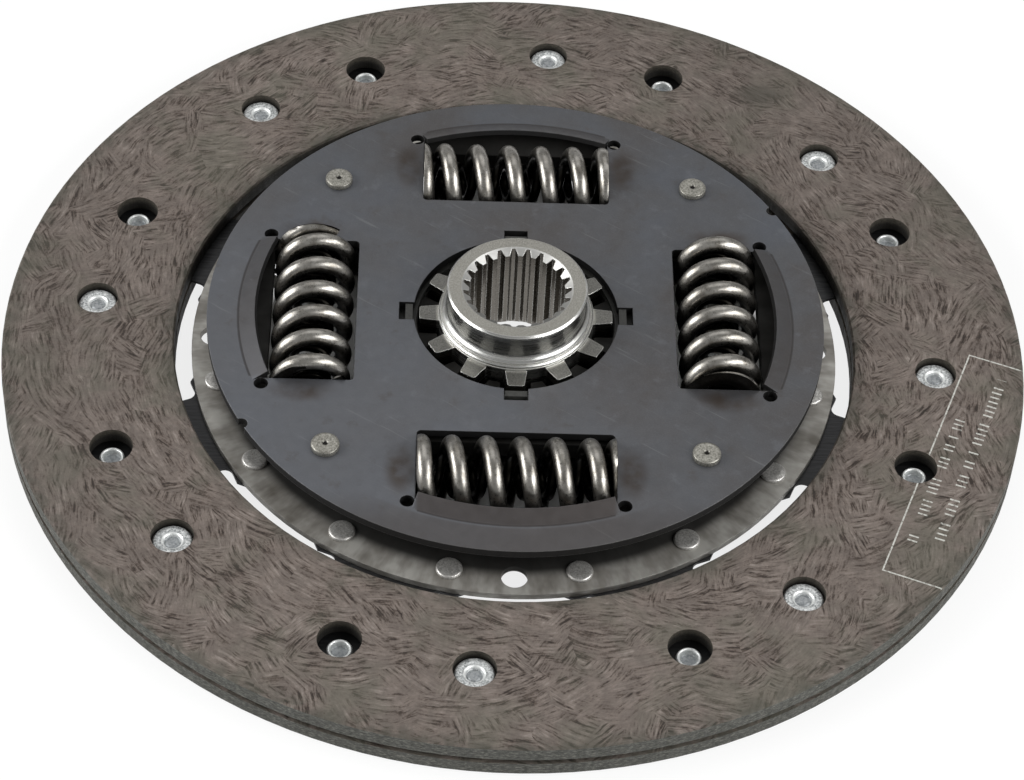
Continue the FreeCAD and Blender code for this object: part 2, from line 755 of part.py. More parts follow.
def spacer_rivets():
    """The four shouldered rivets that join the plates and limit the damper's twist."""
    body = new_body("spacer_rivet_pattern_piece", listed=False)
    rim = "spacer_head_radius - spacer_head_bevel"
    turn(
        body,
        [
            ("0", f"{CARRIER_LOW} - spacer_head_height"),
            (rim, f"{CARRIER_LOW} - spacer_head_height"),
            ("spacer_head_radius", f"{CARRIER_LOW} - spacer_head_height + spacer_head_bevel"),
            ("spacer_head_radius", CARRIER_LOW),
            ("spacer_neck_radius", CARRIER_LOW),
            ("spacer_neck_radius", CARRIER_TOP),
            ("spacer_radius", CARRIER_TOP),
            ("spacer_radius", COVER_LOW),
            ("spacer_neck_radius", COVER_LOW),
            ("spacer_neck_radius", COVER_TOP),
            ("spacer_head_radius", COVER_TOP),
            ("spacer_head_radius", f"{COVER_TOP} + spacer_head_height - spacer_head_bevel"),
            (rim, f"{COVER_TOP} + spacer_head_height"),
            ("spacer_dimple_radius", f"{COVER_TOP} + spacer_head_height"),
            ("0", f"{COVER_TOP} + spacer_head_height - spacer_dimple_depth"),
        ],
    )
    document.recompute()
    count = int(number("window_count"))
    place = (number(SPACER_CIRCLE), 0, 0)
    placements = [turned_by(360 / count * (index + 0.5), place) for index in range(count)]
    copies("spacer_rivets", body.Shape, placements)


def hub_tooth_outline(sketch, grown="0"):
    """The tapered outline of one outer tooth of the hub, grown all round for a piece that goes over it."""
    start = f"hub_journal_radius - {OVERRUN}"
    root_half = f"(hub_tooth_width / 2 + {grown})"
    tip_half = f"(hub_tooth_tip_width / 2 + {grown})"
    tip = f"(hub_tooth_radius + {grown})"
    outline(
        sketch,
        [
            (start, f"-{root_half}"),
            ("hub_journal_radius", f"-{root_half}"),
            (f"{tip} - hub_tooth_corner", f"-{tip_half}", "hub_tooth_corner", 1),
            (tip, f"-({tip_half} - hub_tooth_corner)"),
            (tip, f"{tip_half} - hub_tooth_corner", "hub_tooth_corner", 1),
            (f"{tip} - hub_tooth_corner", tip_half),
            ("hub_journal_radius", root_half),
            (start, root_half),
        ],
    )


def flange_tooth_spaces(body):
    """Cuts the flange's inner toothing, with the idle stage's play beside each tooth of the hub."""
    play = "idle_travel + idle_stop_play"
    root_angle = f"(asin(hub_tooth_width / 2 / hub_journal_radius) / 1 deg + {play})"
    tip_angle = f"(asin(hub_tooth_tip_width / 2 / hub_tooth_radius) / 1 deg + {play})"
    tip_radius = "(hub_tooth_radius + tooth_tip_clearance)"
    inner = polar("hub_journal_radius", root_angle)
    outer = polar(tip_radius, tip_angle)
    space = new_sketch(body, FLANGE_LOW)
    outline(
        space,
        [
            (inner[0], f"-({inner[1]})"),
            (outer[0], f"-({outer[1]})", tip_radius, 1),
            outer,
            inner,
        ],
    )
    repeat(body, [pocket(body, space)], "hub_tooth_count")


def idle_pocket(body):
    """A slot for an idle spring, half way between two windows."""
    sketch = new_sketch(body)
    cosine = "cos(180 / window_count)"
    sine = "sin(180 / window_count)"
    inner, outer = [f"({IDLE_CIRCLE} {sign} {IDLE_POCKET_HALF_WIDTH})" for sign in "-+"]
    corners = []
    for out, sign in ((inner, "-"), (outer, "-"), (outer, "+"), (inner, "+")):
        along = f"(0 {sign} {IDLE_POCKET_HALF_LENGTH})"
        corners.append((f"{out} * {cosine} - {along} * {sine}", f"{out} * {sine} + {along} * {cosine}"))
    outline(sketch, corners)
    return pocket(body, sketch)


def hub_flange():
    """The driven flange: spring windows, notches for the spacer rivets and inner toothing."""
    body = new_body("hub_flange")
    disc = new_sketch(body, FLANGE_LOW)
    circle(disc, FLANGE_RADIUS)
    circle(disc, "hub_journal_radius + tooth_root_clearance")
    pad(body, disc, "flange_thickness")
    opening = new_sketch(body)
    rectangle(opening, WINDOW_INNER, FLANGE_WINDOW_OUTER, WINDOW_HALF)
    notch = new_sketch(body)
    middle = "180 / window_count"
    half_angle = f"(damper_travel + damper_stop_play + asin(spacer_radius / {SPACER_CIRCLE}) / 1 deg)"
    notch_floor = f"({SPACER_CIRCLE} - spacer_radius - flange_notch_clearance)"
    beyond = f"({FLANGE_RADIUS} + {OVERRUN})"
    outline(
        notch,
        [
            polar(notch_floor, f"{middle} - {half_angle}"),
            (*polar(beyond, f"{middle} - {half_angle}"), beyond, 1),
            polar(beyond, f"{middle} + {half_angle}"),
            (*polar(notch_floor, f"{middle} + {half_angle}"), notch_floor, -1),
        ],
    )
    cuts = [pocket(body, opening), pocket(body, notch), idle_pocket(body)]
    repeat(body, cuts, "window_count")
    flange_tooth_spaces(body)


def idle_plate():
    """The thin plate that the hub's teeth carry without play, under the flange."""
    body = new_body("idle_plate")
    disc = new_sketch(body, IDLE_PLATE_LOW)
    circle(disc, IDLE_PLATE_RADIUS)
    circle(disc, "hub_journal_radius + plate_fit")
    pad(body, disc, "idle_plate_sheet")
    repeat(body, [idle_pocket(body)], "window_count")
    space = new_sketch(body, IDLE_PLATE_LOW)
    hub_tooth_outline(space, "plate_fit")
    repeat(body, [pocket(body, space)], "hub_tooth_count")


def hub():
    """The splined hub with its rim, filleted neck, ringed collar and twelve outer teeth."""
    body = new_body("hub")
    mouth = "spline_major_radius + spline_mouth_flare"
    turn(
        body,
        [
            ("spline_minor_radius", "hub_low + spline_foot_chamfer"),
            ("spline_minor_radius + spline_foot_chamfer", "hub_low"),
            ("hub_journal_radius - hub_foot_chamfer", "hub_low"),
            ("hub_journal_radius", "hub_low + hub_foot_chamfer"),
            ("hub_journal_radius", "hub_tooth_top + hub_collar_step"),
            ("hub_collar_radius", "hub_tooth_top + hub_collar_step"),
            ("hub_collar_radius", "hub_collar_top - hub_collar_step"),
            ("hub_collar_radius - hub_collar_step / 2", "hub_collar_top - hub_collar_step / 2"),
            ("hub_collar_radius - hub_collar_step", "hub_collar_top - hub_collar_step / 2"),
            ("hub_collar_radius - hub_collar_step", "hub_collar_top", "hub_fillet", -1),
            ("hub_neck_radius", "hub_collar_top + hub_fillet"),
            ("hub_neck_radius", "hub_high - hub_rim_height"),
            ("hub_rim_radius", "hub_high - hub_rim_height"),
            ("hub_rim_radius", "hub_high - hub_rim_chamfer"),
            ("hub_rim_radius - hub_rim_chamfer", "hub_high"),
            (mouth, "hub_high"),
            ("spline_minor_radius", "hub_high - spline_mouth_depth"),
        ],
    )
    tooth = new_sketch(body, f"{IDLE_PLATE_LOW} + hub_tooth_lift")
    hub_tooth_outline(tooth)
    teeth = pad(body, tooth, f"hub_tooth_top - {IDLE_PLATE_LOW} - hub_tooth_lift")
    repeat(body, [teeth], "hub_tooth_count")
    space = new_sketch(body)
    outline(
        space,
        [
            (f"spline_minor_radius - {OVERRUN}", "-spline_mouth_width / 2"),
            ("spline_minor_radius", "-spline_mouth_width / 2"),
            ("spline_major_radius", "-spline_floor_width / 2"),
            ("spline_major_radius", "spline_floor_width / 2"),
            ("spline_minor_radius", "spline_mouth_width / 2"),
            (f"spline_minor_radius - {OVERRUN}", "spline_mouth_width / 2"),
        ],
    )
    repeat(body, [pocket(body, space)], "spline_teeth")


def centring_bush():
    """The plastic bush that centres the hub in the carrier plate and rubs on the idle plate."""
    body = new_body("centring_bush")
    bore = "(hub_journal_radius + bush_running_fit)"
    bush_flange = f"{DISH_RADIUS} - bush_flange_clearance"
    bush_step = f"{IDLE_CIRCLE} - idle_spring_outer_radius - bush_step_clearance"
    spring_floor = f"({IDLE_SPRING_LEVEL} - idle_spring_outer_radius - bush_spring_clearance)"
    turn(
        body,
        [
            (bore, f"{DISH_FLOOR} - carrier_sheet - bush_tail"),
            (BUSH_OUTER, f"{DISH_FLOOR} - carrier_sheet - bush_tail"),
            (BUSH_OUTER, DISH_FLOOR),
            (bush_flange, DISH_FLOOR),
            (bush_flange, spring_floor),
            (bush_step, spring_floor),
            (bush_step, IDLE_PLATE_LOW),
            (bore, IDLE_PLATE_LOW),
        ],
    )
    peg = new_sketch(body, f"{DISH_FLOOR} - carrier_sheet")
    circle(peg, "peg_radius", PEG_CIRCLE, "0")
    repeat(body, [pad(body, peg, "carrier_sheet")], "window_count")


def friction_ring():
    """The plastic ring on the flange, keyed to the cover by tabs in its notches."""
    body = new_body("friction_ring")
    disc = new_sketch(body, FLANGE_TOP)
    circle(disc, RING_OUTER)
    circle(disc, "hub_tooth_radius + ring_hub_clearance")
    pad(body, disc, "ring_thickness")
    tab = new_sketch(body, FLANGE_TOP)
    rectangle(tab, TAB_INNER, TAB_OUTER, "cover_notch_width / 2 - tab_side_play")
    repeat(body, [pad(body, tab, f"{COVER_TOP} - tab_below_top - {FLANGE_TOP}")], "window_count")


def disc_spring():
    """The conical spring that presses the friction ring away from the cover."""
    body = new_body("disc_spring")
    low = f"({FLANGE_TOP} + ring_thickness)"
    outer = f"{RING_OUTER} - disc_spring_setback"
    turn(
        body,
        [
            (DISC_SPRING_INNER, low),
            (outer, f"{COVER_LOW} - disc_spring_sheet"),
            (outer, COVER_LOW),
            (DISC_SPRING_INNER, f"{low} + disc_spring_sheet"),
        ],
    )


def coil(mean_radius, wire, length, pitch, hand, runs, sides):
    """A compression spring along +Z with closed, ground ends, drawn with flat sides.

    runs is the number of straight stretches in a turn and sides that of the wire's section."""
    closed_pitch = wire * CLOSED_COIL_SPACING
    left_by_grinding = wire * GROUND_SHARE
    active_turns = (length - left_by_grinding - 2 * CLOSED_TURNS * closed_pitch) / pitch
    turns = active_turns + 2 * CLOSED_TURNS
    stations = int(round(turns * runs))
    centres = []
    for index in range(stations + 1):
        turn_now = turns * (index / stations - 0.5)
        active = min(abs(turn_now), active_turns / 2)
        rise = active * pitch + (abs(turn_now) - active) * closed_pitch
        angle = 2 * math.pi * turn_now * hand
        height = math.copysign(rise, turn_now)
        centres.append(FreeCAD.Vector(mean_radius * math.cos(angle), mean_radius * math.sin(angle), height))
    along = (centres[1] - centres[0]).normalize()
    outward = FreeCAD.Vector(centres[0].x, centres[0].y, 0).normalize()
    across = along.cross(outward)
    corners = []
    for index in range(sides + 1):
        angle = 2 * math.pi * (index + 0.5) / sides
        corners.append(centres[0] + (outward * math.cos(angle) + across * math.sin(angle)) * wire / 2)
    sweep = Part.BRepOffsetAPI.MakePipeShell(Part.makePolygon(centres))
    sweep.setTransitionMode(1)
    sweep.add(Part.makePolygon(corners))
    sweep.build()
    sweep.makeSolid()
    reach = 2 * mean_radius
    ground = Part.makeBox(2 * reach, 2 * reach, length, FreeCAD.Vector(-reach, -reach, -length / 2))
    return sweep.shape().common(ground)


def spring_nodes(label, shape, radius, level, first_angle, count):
    """One node for each spring, lying along the tangent at its radius and level."""
    lying = FreeCAD.Rotation(FreeCAD.Vector(1, 0, 0), -90)
    seat = FreeCAD.Placement(FreeCAD.Vector(radius, 0, level), lying)
    for index in range(count):
        angle = first_angle + 360 / count * index
        copies(f"{label}_{index + 1}", shape, [turned_by(angle).multiply(seat)])


def springs():
    """The main damper's nested springs and the idle damper's small ones."""
    count = int(number("window_count"))
    outer = coil(
        number("spring_outer_radius - spring_wire / 2"),
        number("spring_wire"),
        number("spring_length"),
        number("spring_pitch"),
        hand=1,
        runs=12,
        sides=8,
    )
    inner = coil(
        number("inner_spring_outer_radius - inner_spring_wire / 2"),
        number("inner_spring_wire"),
        number("spring_length - 2 * inner_spring_end_gap"),
        number("inner_spring_pitch"),
        hand=-1,
        runs=8,
        sides=6,
    )
    idle = coil(
        number("idle_spring_outer_radius - idle_spring_wire / 2"),
        number("idle_spring_wire"),
        number("idle_spring_length"),
        number("idle_spring_pitch"),
        hand=1,
        runs=8,
        sides=5,
    )
    level = number(SPRING_LEVEL)
    radius = number(SPRING_CIRCLE)
    spring_nodes("outer_spring", outer, radius, level, 0, count)
    spring_nodes("inner_spring", inner, radius, level, 0, count)
    idle_radius = number(IDLE_CIRCLE)
    spring_nodes("idle_spring", idle, idle_radius, number(IDLE_SPRING_LEVEL), 180 / count, count)


def check_and_write():
    """Stops if anything failed, then writes each piece to its own file."""
    document.recompute()
    for item in document.Objects:
        if "Invalid" in item.State or "Error" in item.State:
            raise RuntimeError(f"{item.Label} did not compute: {item.State}")
    os.makedirs("parts", exist_ok=True)
    for node in nodes:
        if node.Shape.isNull() or not node.Shape.isValid() or not node.Shape.Solids:
            raise RuntimeError(f"{node.Label} has no valid solid")
        node.Shape.exportStep(f"parts/{node.Label}.step")


fill_sheet()
facing("friction_facing_gearbox_side", 1)
facing("friction_facing_flywheel_side", -1)
facing_rivets()
cushion_segments()
carrier_plate()
segment_rivets()
cover_plate()
spacer_rivets()
hub_flange()
idle_plate()
hub()
centring_bush()
friction_ring()
disc_spring()
springs()
check_and_write()
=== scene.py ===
"""The looks of a clutch disc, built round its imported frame.

Lengths are in millimetres until MM turns them into metres. Angles are in degrees until they
are used.
"""
import json
import math

import bpy
from mathutils import Matrix, Vector


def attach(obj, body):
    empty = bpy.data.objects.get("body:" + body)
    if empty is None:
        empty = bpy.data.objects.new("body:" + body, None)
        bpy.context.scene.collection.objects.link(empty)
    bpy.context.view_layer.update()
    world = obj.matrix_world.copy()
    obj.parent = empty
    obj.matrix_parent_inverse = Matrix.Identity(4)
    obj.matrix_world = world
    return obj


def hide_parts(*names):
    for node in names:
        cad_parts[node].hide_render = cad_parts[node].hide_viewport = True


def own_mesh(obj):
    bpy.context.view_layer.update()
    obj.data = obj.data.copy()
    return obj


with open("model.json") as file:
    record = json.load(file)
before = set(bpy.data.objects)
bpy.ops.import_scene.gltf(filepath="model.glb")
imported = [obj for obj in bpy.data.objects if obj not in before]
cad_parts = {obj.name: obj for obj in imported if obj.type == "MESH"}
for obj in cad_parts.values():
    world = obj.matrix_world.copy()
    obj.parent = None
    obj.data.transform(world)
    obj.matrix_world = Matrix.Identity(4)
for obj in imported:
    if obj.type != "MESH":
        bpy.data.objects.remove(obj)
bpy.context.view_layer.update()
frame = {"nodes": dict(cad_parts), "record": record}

MM = 0.001

# The photograph's camera, found from the disc's outline and its rivets. CAMERA_TURN is how far
# the camera stands round the disc's axis from the frame's front.
PHOTO_WIDTH = 1024
SENSOR_WIDTH = 36.0
FOCAL_PIXELS = 3189.5
CAMERA_ELEVATION = 47.552
CAMERA_ROLL = 3.259
CAMERA_DISTANCE = 755.5
CAMERA_SHIFT = (-0.498, -9.911)
CAMERA_TURN = -2.4

# Radii, levels and angles of the disc's pieces, the same as in the CAD.
FACING_INNER = 80.0
FACING_OUTER = 120.0
FACING_FACE = 4.5
RIVET_CIRCLE = 99.3
RIVET_COUNT = 8
FIRST_SHALLOW = -5.0
FIRST_DEEP = 22.5
CARRIER_TOP = 1.6
SEGMENT_RIVET_CIRCLE = 70.7
SEGMENT_RIVET_SPREAD = 10.65
COVER_TOP = 11.9
COVER_SHEET = 2.0
COVER_RADIUS = 72.2
LIP_EDGE = 61.0
LIP_BASE = 64.6
WINDOW_COUNT = 4
WINDOW_HALF = 22.5
SPACER_CIRCLE = 60.75
SPRING_CIRCLE = 47.6
SPRING_LEVEL = 8.0
SPRING_LENGTH = 44.8
IDLE_CIRCLE = 30.5
IDLE_LEVEL = 3.9
SPLINE_RADIUS = 12.65
HUB_JOURNAL = 18.2

# How far each damper spring is turned about its own axis, so that its coils lie as in the photograph.
SPRING_TURNS = (-12.0, -132.4, 43.8, 173.9)

# The springs' ends: closed turns at each end, their pitch in wire diameters, and how far the wire's
# middle runs past both ends together, in wire diameters, before it is ground flat.
CLOSED_TURNS = 0.86
CLOSED_COIL_SPACING = 1.04
GROUND_AWAY = 0.75

# The lining's layers of strands: a patch's width, a strand's length and thickness, how far the
# patches turn apart in radians, and a number that shifts the layer.
LINING_LAYERS = (
    (13.0, 4.8, 0.72, 1.4, 1),
    (16.0, 5.6, 0.84, 1.1, 2),
    (11.0, 4.0, 0.6, 2.2, 3),
)


def srgb(red, green, blue):
    """A colour given as the photograph shows it, 0 to 255, made linear."""
    linear = []
    for value in (red, green, blue):
        share = value / 255
        linear.append(((share + 0.055) / 1.055) ** 2.4 if value > 10 else share / 12.92)
    return (*linear, 1)


class Graph:
    """A material's nodes, written as short calls. Its place is the surface point in millimetres."""

    def __init__(self, name, metallic=0.0, roughness=0.5, specular=0.5):
        self.material = bpy.data.materials.new(name)
        self.material.use_nodes = True
        self.nodes = self.material.node_tree.nodes
        self.links = self.material.node_tree.links
        self.nodes.clear()
        output = self.nodes.new("ShaderNodeOutputMaterial")
        self.shader = self.nodes.new("ShaderNodeBsdfPrincipled")
        self.links.new(self.shader.outputs[0], output.inputs["Surface"])
        self.shader.inputs["Metallic"].default_value = metallic
        self.shader.inputs["Roughness"].default_value = roughness
        self.shader.inputs["Specular IOR Level"].default_value = specular
        coordinates = self.nodes.new("ShaderNodeTexCoord")
        self.place = self.vector("SCALE", coordinates.outputs["Object"], scale=1 / MM)
        self.x, self.y, self.z = self.parts(self.place)
        normal = self.nodes.new("ShaderNodeNewGeometry").outputs["Normal"]
        self.upward = self.parts(normal)[2]

    def put(self, socket, value):
        """Links a socket, or sets it."""
        if isinstance(value, bpy.types.NodeSocket):
            self.links.new(value, socket)
        elif value is not None:
            socket.default_value = value

    def math(self, operation, first, second=None, third=None):
        node = self.nodes.new("ShaderNodeMath")
        node.operation = operation
        for socket, value in zip(node.inputs, (first, second, third)):
            self.put(socket, value)
        return node.outputs[0]

    def times(self, first, *others):
        """The product of all the values."""
        for other in others:
            first = self.math("MULTIPLY", first, other)
        return first

    def vector(self, operation, first, second=None, scale=None):
        node = self.nodes.new("ShaderNodeVectorMath")
        node.operation = operation
        self.put(node.inputs[0], first)
        if operation == "SCALE":
            self.put(node.inputs["Scale"], scale)
        else:
            self.put(node.inputs[1], second)
        return node.outputs[0]

    def length(self, vector):
        node = self.nodes.new("ShaderNodeVectorMath")
        node.operation = "LENGTH"
        self.put(node.inputs[0], vector)
        return node.outputs["Value"]

    def parts(self, vector):
        node = self.nodes.new("ShaderNodeSeparateXYZ")
        self.put(node.inputs[0], vector)
        return node.outputs[0], node.outputs[1], node.outputs[2]

    def join(self, x=0.0, y=0.0, z=0.0):
        node = self.nodes.new("ShaderNodeCombineXYZ")
        for socket, value in zip(node.inputs, (x, y, z)):
            self.put(socket, value)
        return node.outputs[0]

    def noise(self, vector, scale, detail=2.0, roughness=0.5, output=0):
        """Soft noise with so many spots per millimetre: output 0 is its value and 1 its colour."""
        node = self.nodes.new("ShaderNodeTexNoise")
        self.put(node.inputs["Vector"], vector)
        node.inputs["Scale"].default_value = scale
        node.inputs["Detail"].default_value = detail
        node.inputs["Roughness"].default_value = roughness
        return node.outputs[output]

    def cells(self, vector, scale, dimensions="3D"):
        """Random cells: the distance to a cell's centre, its random colour and its centre."""
        node = self.nodes.new("ShaderNodeTexVoronoi")
        node.voronoi_dimensions = dimensions
        self.put(node.inputs["Vector"], vector)
        node.inputs["Scale"].default_value = scale
        return node.outputs["Distance"], node.outputs["Color"], node.outputs["Position"]

    def turned(self, vector, angle):
        """A vector turned about Z by an angle in radians."""
        node = self.nodes.new("ShaderNodeVectorRotate")
        node.rotation_type = "Z_AXIS"
        self.put(node.inputs["Vector"], vector)
        self.put(node.inputs["Angle"], angle)
        return node.outputs[0]

    def ease(self, value, low, high, start=0.0, end=1.0):
        """Runs smoothly from start to end while value goes from low to high."""
        node = self.nodes.new("ShaderNodeMapRange")
        node.interpolation_type = "SMOOTHSTEP"
        for socket, number in zip(node.inputs, (value, low, high, start, end)):
            self.put(socket, number)
        return node.outputs[0]

    def band(self, value, low, high):
        """1 where value lies between low and high."""
        return self.times(self.math("GREATER_THAN", value, low), self.math("LESS_THAN", value, high))

    def mix(self, share, first, second):
        """Goes from the first colour to the second by a share."""
        node = self.nodes.new("ShaderNodeMix")
        node.data_type = "RGBA"
        self.put(node.inputs["Factor"], share)
        self.put(node.inputs[6], first)
        self.put(node.inputs[7], second)
        return node.outputs[2]

    def tint(self, colour, mask, shade, most=1.0):
        """Lays a shade of 0 to 255 over a colour where a mask is 1, and at most by a share."""
        share = mask if most == 1.0 else self.times(mask, most)
        return self.mix(share, colour, srgb(*shade))

    def ramp(self, share, stops):
        """A colour ramp through stops of (position, colour)."""
        node = self.nodes.new("ShaderNodeValToRGB")
        self.put(node.inputs[0], share)
        elements = node.color_ramp.elements
        while len(elements) < len(stops):
            elements.new(0.5)
        for element, (position, colour) in zip(elements, stops):
            element.position = position
            element.color = colour
        return node.outputs[0]

    def bump(self, height, depth, strength=1.0, under=None):
        """A normal that follows a height, its depth in millimetres, laid over another normal."""
        node = self.nodes.new("ShaderNodeBump")
        node.inputs["Distance"].default_value = depth * MM
        node.inputs["Strength"].default_value = strength
        self.put(node.inputs["Height"], height)
        self.put(node.inputs["Normal"], under)
        return node.outputs[0]

    def rounded(self, radius):
        """A normal that rounds sharp edges by a radius in millimetres."""
        node = self.nodes.new("ShaderNodeBevel")
        node.samples = 3
        node.inputs["Radius"].default_value = radius * MM
        return node.outputs[0]

    def edges(self, radius):
        """The rounded normal, and a mask of the edges that it rounds."""
        rounded = self.rounded(radius)
        normal = self.nodes.new("ShaderNodeNewGeometry").outputs["Normal"]
        off = self.length(self.vector("SUBTRACT", rounded, normal))
        return rounded, self.ease(off, 0.12, 0.5)

    def polar(self):
        """The angle round the disc's axis in radians and the distance from it in millimetres."""
        return self.math("ARCTAN2", self.y, self.x), self.length(self.join(self.x, self.y))

    def off_centre(self, first, circle, count):
        """How far a point lies from the nearest of the rivets that are evenly spaced on a circle."""
        angle, radius = self.polar()
        step = 2 * math.pi / count
        turns = self.math("DIVIDE", self.math("SUBTRACT", angle, math.radians(first)), step)
        off = self.times(self.math("SUBTRACT", turns, self.math("ROUND", turns)), step)
        outward = self.math("SUBTRACT", self.times(radius, self.math("COSINE", off)), circle)
        return self.length(self.join(outward, self.times(radius, self.math("SINE", off))))

    def finish(self, colour=None, roughness=None, normal=None):
        self.put(self.shader.inputs["Base Color"], colour)
        self.put(self.shader.inputs["Roughness"], roughness)
        self.put(self.shader.inputs["Normal"], normal)
        return self.material


def fibre_layer(graph, angle, cell, long, thin, spread, seed):
    """Short strands side by side in patches, each patch turned its own way.

    Gives the strands' height, and a weight that is greatest at a patch's middle.
    """
    flat = graph.vector("MULTIPLY", graph.place, (1.0, 1.0, 0.0))
    shifted = graph.vector("ADD", flat, (seed * 31.7, seed * 17.3, 0.0))
    sway = graph.noise(shifted, 0.13, 1.0, output=1)
    swayed = graph.vector("ADD", shifted, graph.vector("SCALE", sway, scale=cell * 0.9))
    distance, colour, centre = graph.cells(swayed, 1 / cell, "2D")
    first, second, third = graph.parts(colour)
    curl = graph.vector("SCALE", graph.noise(shifted, 0.2, 1.0, output=1), scale=0.9)
    local = graph.vector("SUBTRACT", graph.vector("ADD", shifted, curl), centre)
    tangent = graph.math("ADD", angle, math.pi / 2)
    lean = graph.math("MULTIPLY_ADD", graph.math("SUBTRACT", first, 0.5), spread, tangent)
    along, across, _ = graph.parts(graph.turned(local, graph.times(lean, -1.0)))
    curve = graph.math("MULTIPLY_ADD", second, 0.05, -0.025)
    bend = graph.times(graph.times(along, along), curve)
    across = graph.math("ADD", across, bend)
    strand_place = graph.join(
        graph.math("DIVIDE", along, long),
        graph.math("DIVIDE", across, thin),
        graph.times(third, 40.0),
    )
    nearness = graph.math("MAXIMUM", graph.math("MULTIPLY_ADD", distance, -1.1, 1.0), 0.06)
    return graph.noise(strand_place, 1.0, 4.0, 0.62), graph.math("POWER", nearness, 12.0)


def fibres(graph, angle, layers):
    """Strand layers laid over each other, so that no patch shows its edge."""
    total = None
    weights = None
    for layer in layers:
        strands, weight = fibre_layer(graph, angle, *layer)
        weighted = graph.times(strands, weight)
        total = weighted if total is None else graph.math("ADD", total, weighted)
        weights = weight if weights is None else graph.math("ADD", weights, weight)
    return graph.math("DIVIDE", total, weights)


def lining_stains(graph, colour, grain, radius):
    """Mossy spots, one smudge, dusky places behind and on the left, and ragged rims."""
    moss = graph.ease(graph.noise(graph.place, 0.06, 3.0, 0.6), 0.45, 0.68)
    colour = graph.tint(colour, moss, (86, 86, 75), 0.45)
    smudge_place = graph.vector("SUBTRACT", graph.place, (62.0, 86.4, 0.0))
    smudge_place = graph.vector("DIVIDE", smudge_place, (8.0, 5.0, 1000.0))
    smudge = graph.math("ADD", graph.length(smudge_place), graph.times(grain, 0.5))
    colour = graph.tint(colour, graph.ease(smudge, 1.4, 0.5, 0.0, 0.75), (70, 67, 60))
    back_right = graph.ease(graph.math("ADD", graph.x, graph.y), 90.0, 140.0)
    dusky = graph.math("MAXIMUM", back_right, graph.ease(graph.x, -72.0, -108.0))
    colour = graph.tint(colour, dusky, (58, 53, 49), 0.17)
    outer_rim = graph.ease(radius, FACING_OUTER - 5.0, FACING_OUTER)
    inner_rim = graph.ease(radius, FACING_INNER + 4.0, FACING_INNER)
    rim = graph.math("MAXIMUM", outer_rim, inner_rim)
    ragged = graph.times(rim, graph.ease(graph.noise(graph.place, 0.25, 3.0), 0.35, 0.6))
    return graph.tint(colour, ragged, (66, 66, 58), 0.6)


def lining_walls(graph, radius):
    """The gritty rim, and the brown walls of the holes, with a painted shade that deepens with their
    depth.
    """
    grain = graph.noise(graph.vector("MULTIPLY", graph.place, (0.9, 0.9, 2.6)), 1.1, 4.0, 0.7)
    rim = graph.ramp(grain, [
        (0.3, srgb(48, 48, 44)),
        (0.5, srgb(74, 74, 70)),
        (0.72, srgb(118, 117, 110)),
    ])
    hole = graph.ramp(grain, [(0.3, srgb(44, 41, 36)), (0.7, srgb(84, 79, 70))])
    # Painted shade, deeper down the holes.
    hole = graph.tint(hole, graph.ease(graph.z, FACING_FACE, FACING_FACE - 2.4, 0.0, 0.9), (14, 13, 11))
    return graph.mix(graph.ease(radius, FACING_OUTER - 0.6, FACING_OUTER - 1.0), rim, hole)


def friction_lining():
    """Pressed yarn and resin: brown-grey strands in patches, with gritty dark side walls."""
    graph = Graph("friction_lining", roughness=0.72, specular=0.3)
    angle, radius = graph.polar()
    strands = fibres(graph, angle, LINING_LAYERS)
    busy = graph.ease(graph.noise(graph.place, 0.16, 2.0, 0.6), 0.38, 0.6, 0.62, 1.2)
    strands = graph.math("MULTIPLY_ADD", graph.math("SUBTRACT", strands, 0.5), busy, 0.5)
    grain = graph.noise(graph.place, 1.7, 4.0, 0.68)
    body = graph.math("MULTIPLY_ADD", graph.math("SUBTRACT", grain, 0.5), 0.26, strands)
    dense = graph.ease(graph.noise(graph.place, 0.11, 2.0), 0.36, 0.62)
    body = graph.math("ADD", body, graph.math("MULTIPLY_ADD", dense, -0.05, 0.025))
    colour = graph.ramp(body, [
        (0.34, srgb(46, 39, 35)),
        (0.42, srgb(74, 65, 59)),
        (0.48, srgb(99, 90, 84)),
        (0.59, srgb(108, 99, 93)),
        (0.74, srgb(132, 123, 116)),
    ])
    cloud = graph.ease(graph.noise(graph.place, 0.35, 3.0, 0.6), 0.36, 0.64, -0.12, 0.12)
    colour = graph.vector("SCALE", colour, scale=graph.math("ADD", cloud, 1.0))
    colour = printed_frame(graph, lining_stains(graph, colour, grain, radius))
    facing_up = graph.ease(graph.math("ABSOLUTE", graph.upward), 0.35, 0.75)
    colour = graph.mix(facing_up, lining_walls(graph, radius), colour)
    return graph.finish(colour, graph.ease(body, 0.35, 0.65, 0.85, 0.62), graph.bump(grain, 0.3, 0.5))


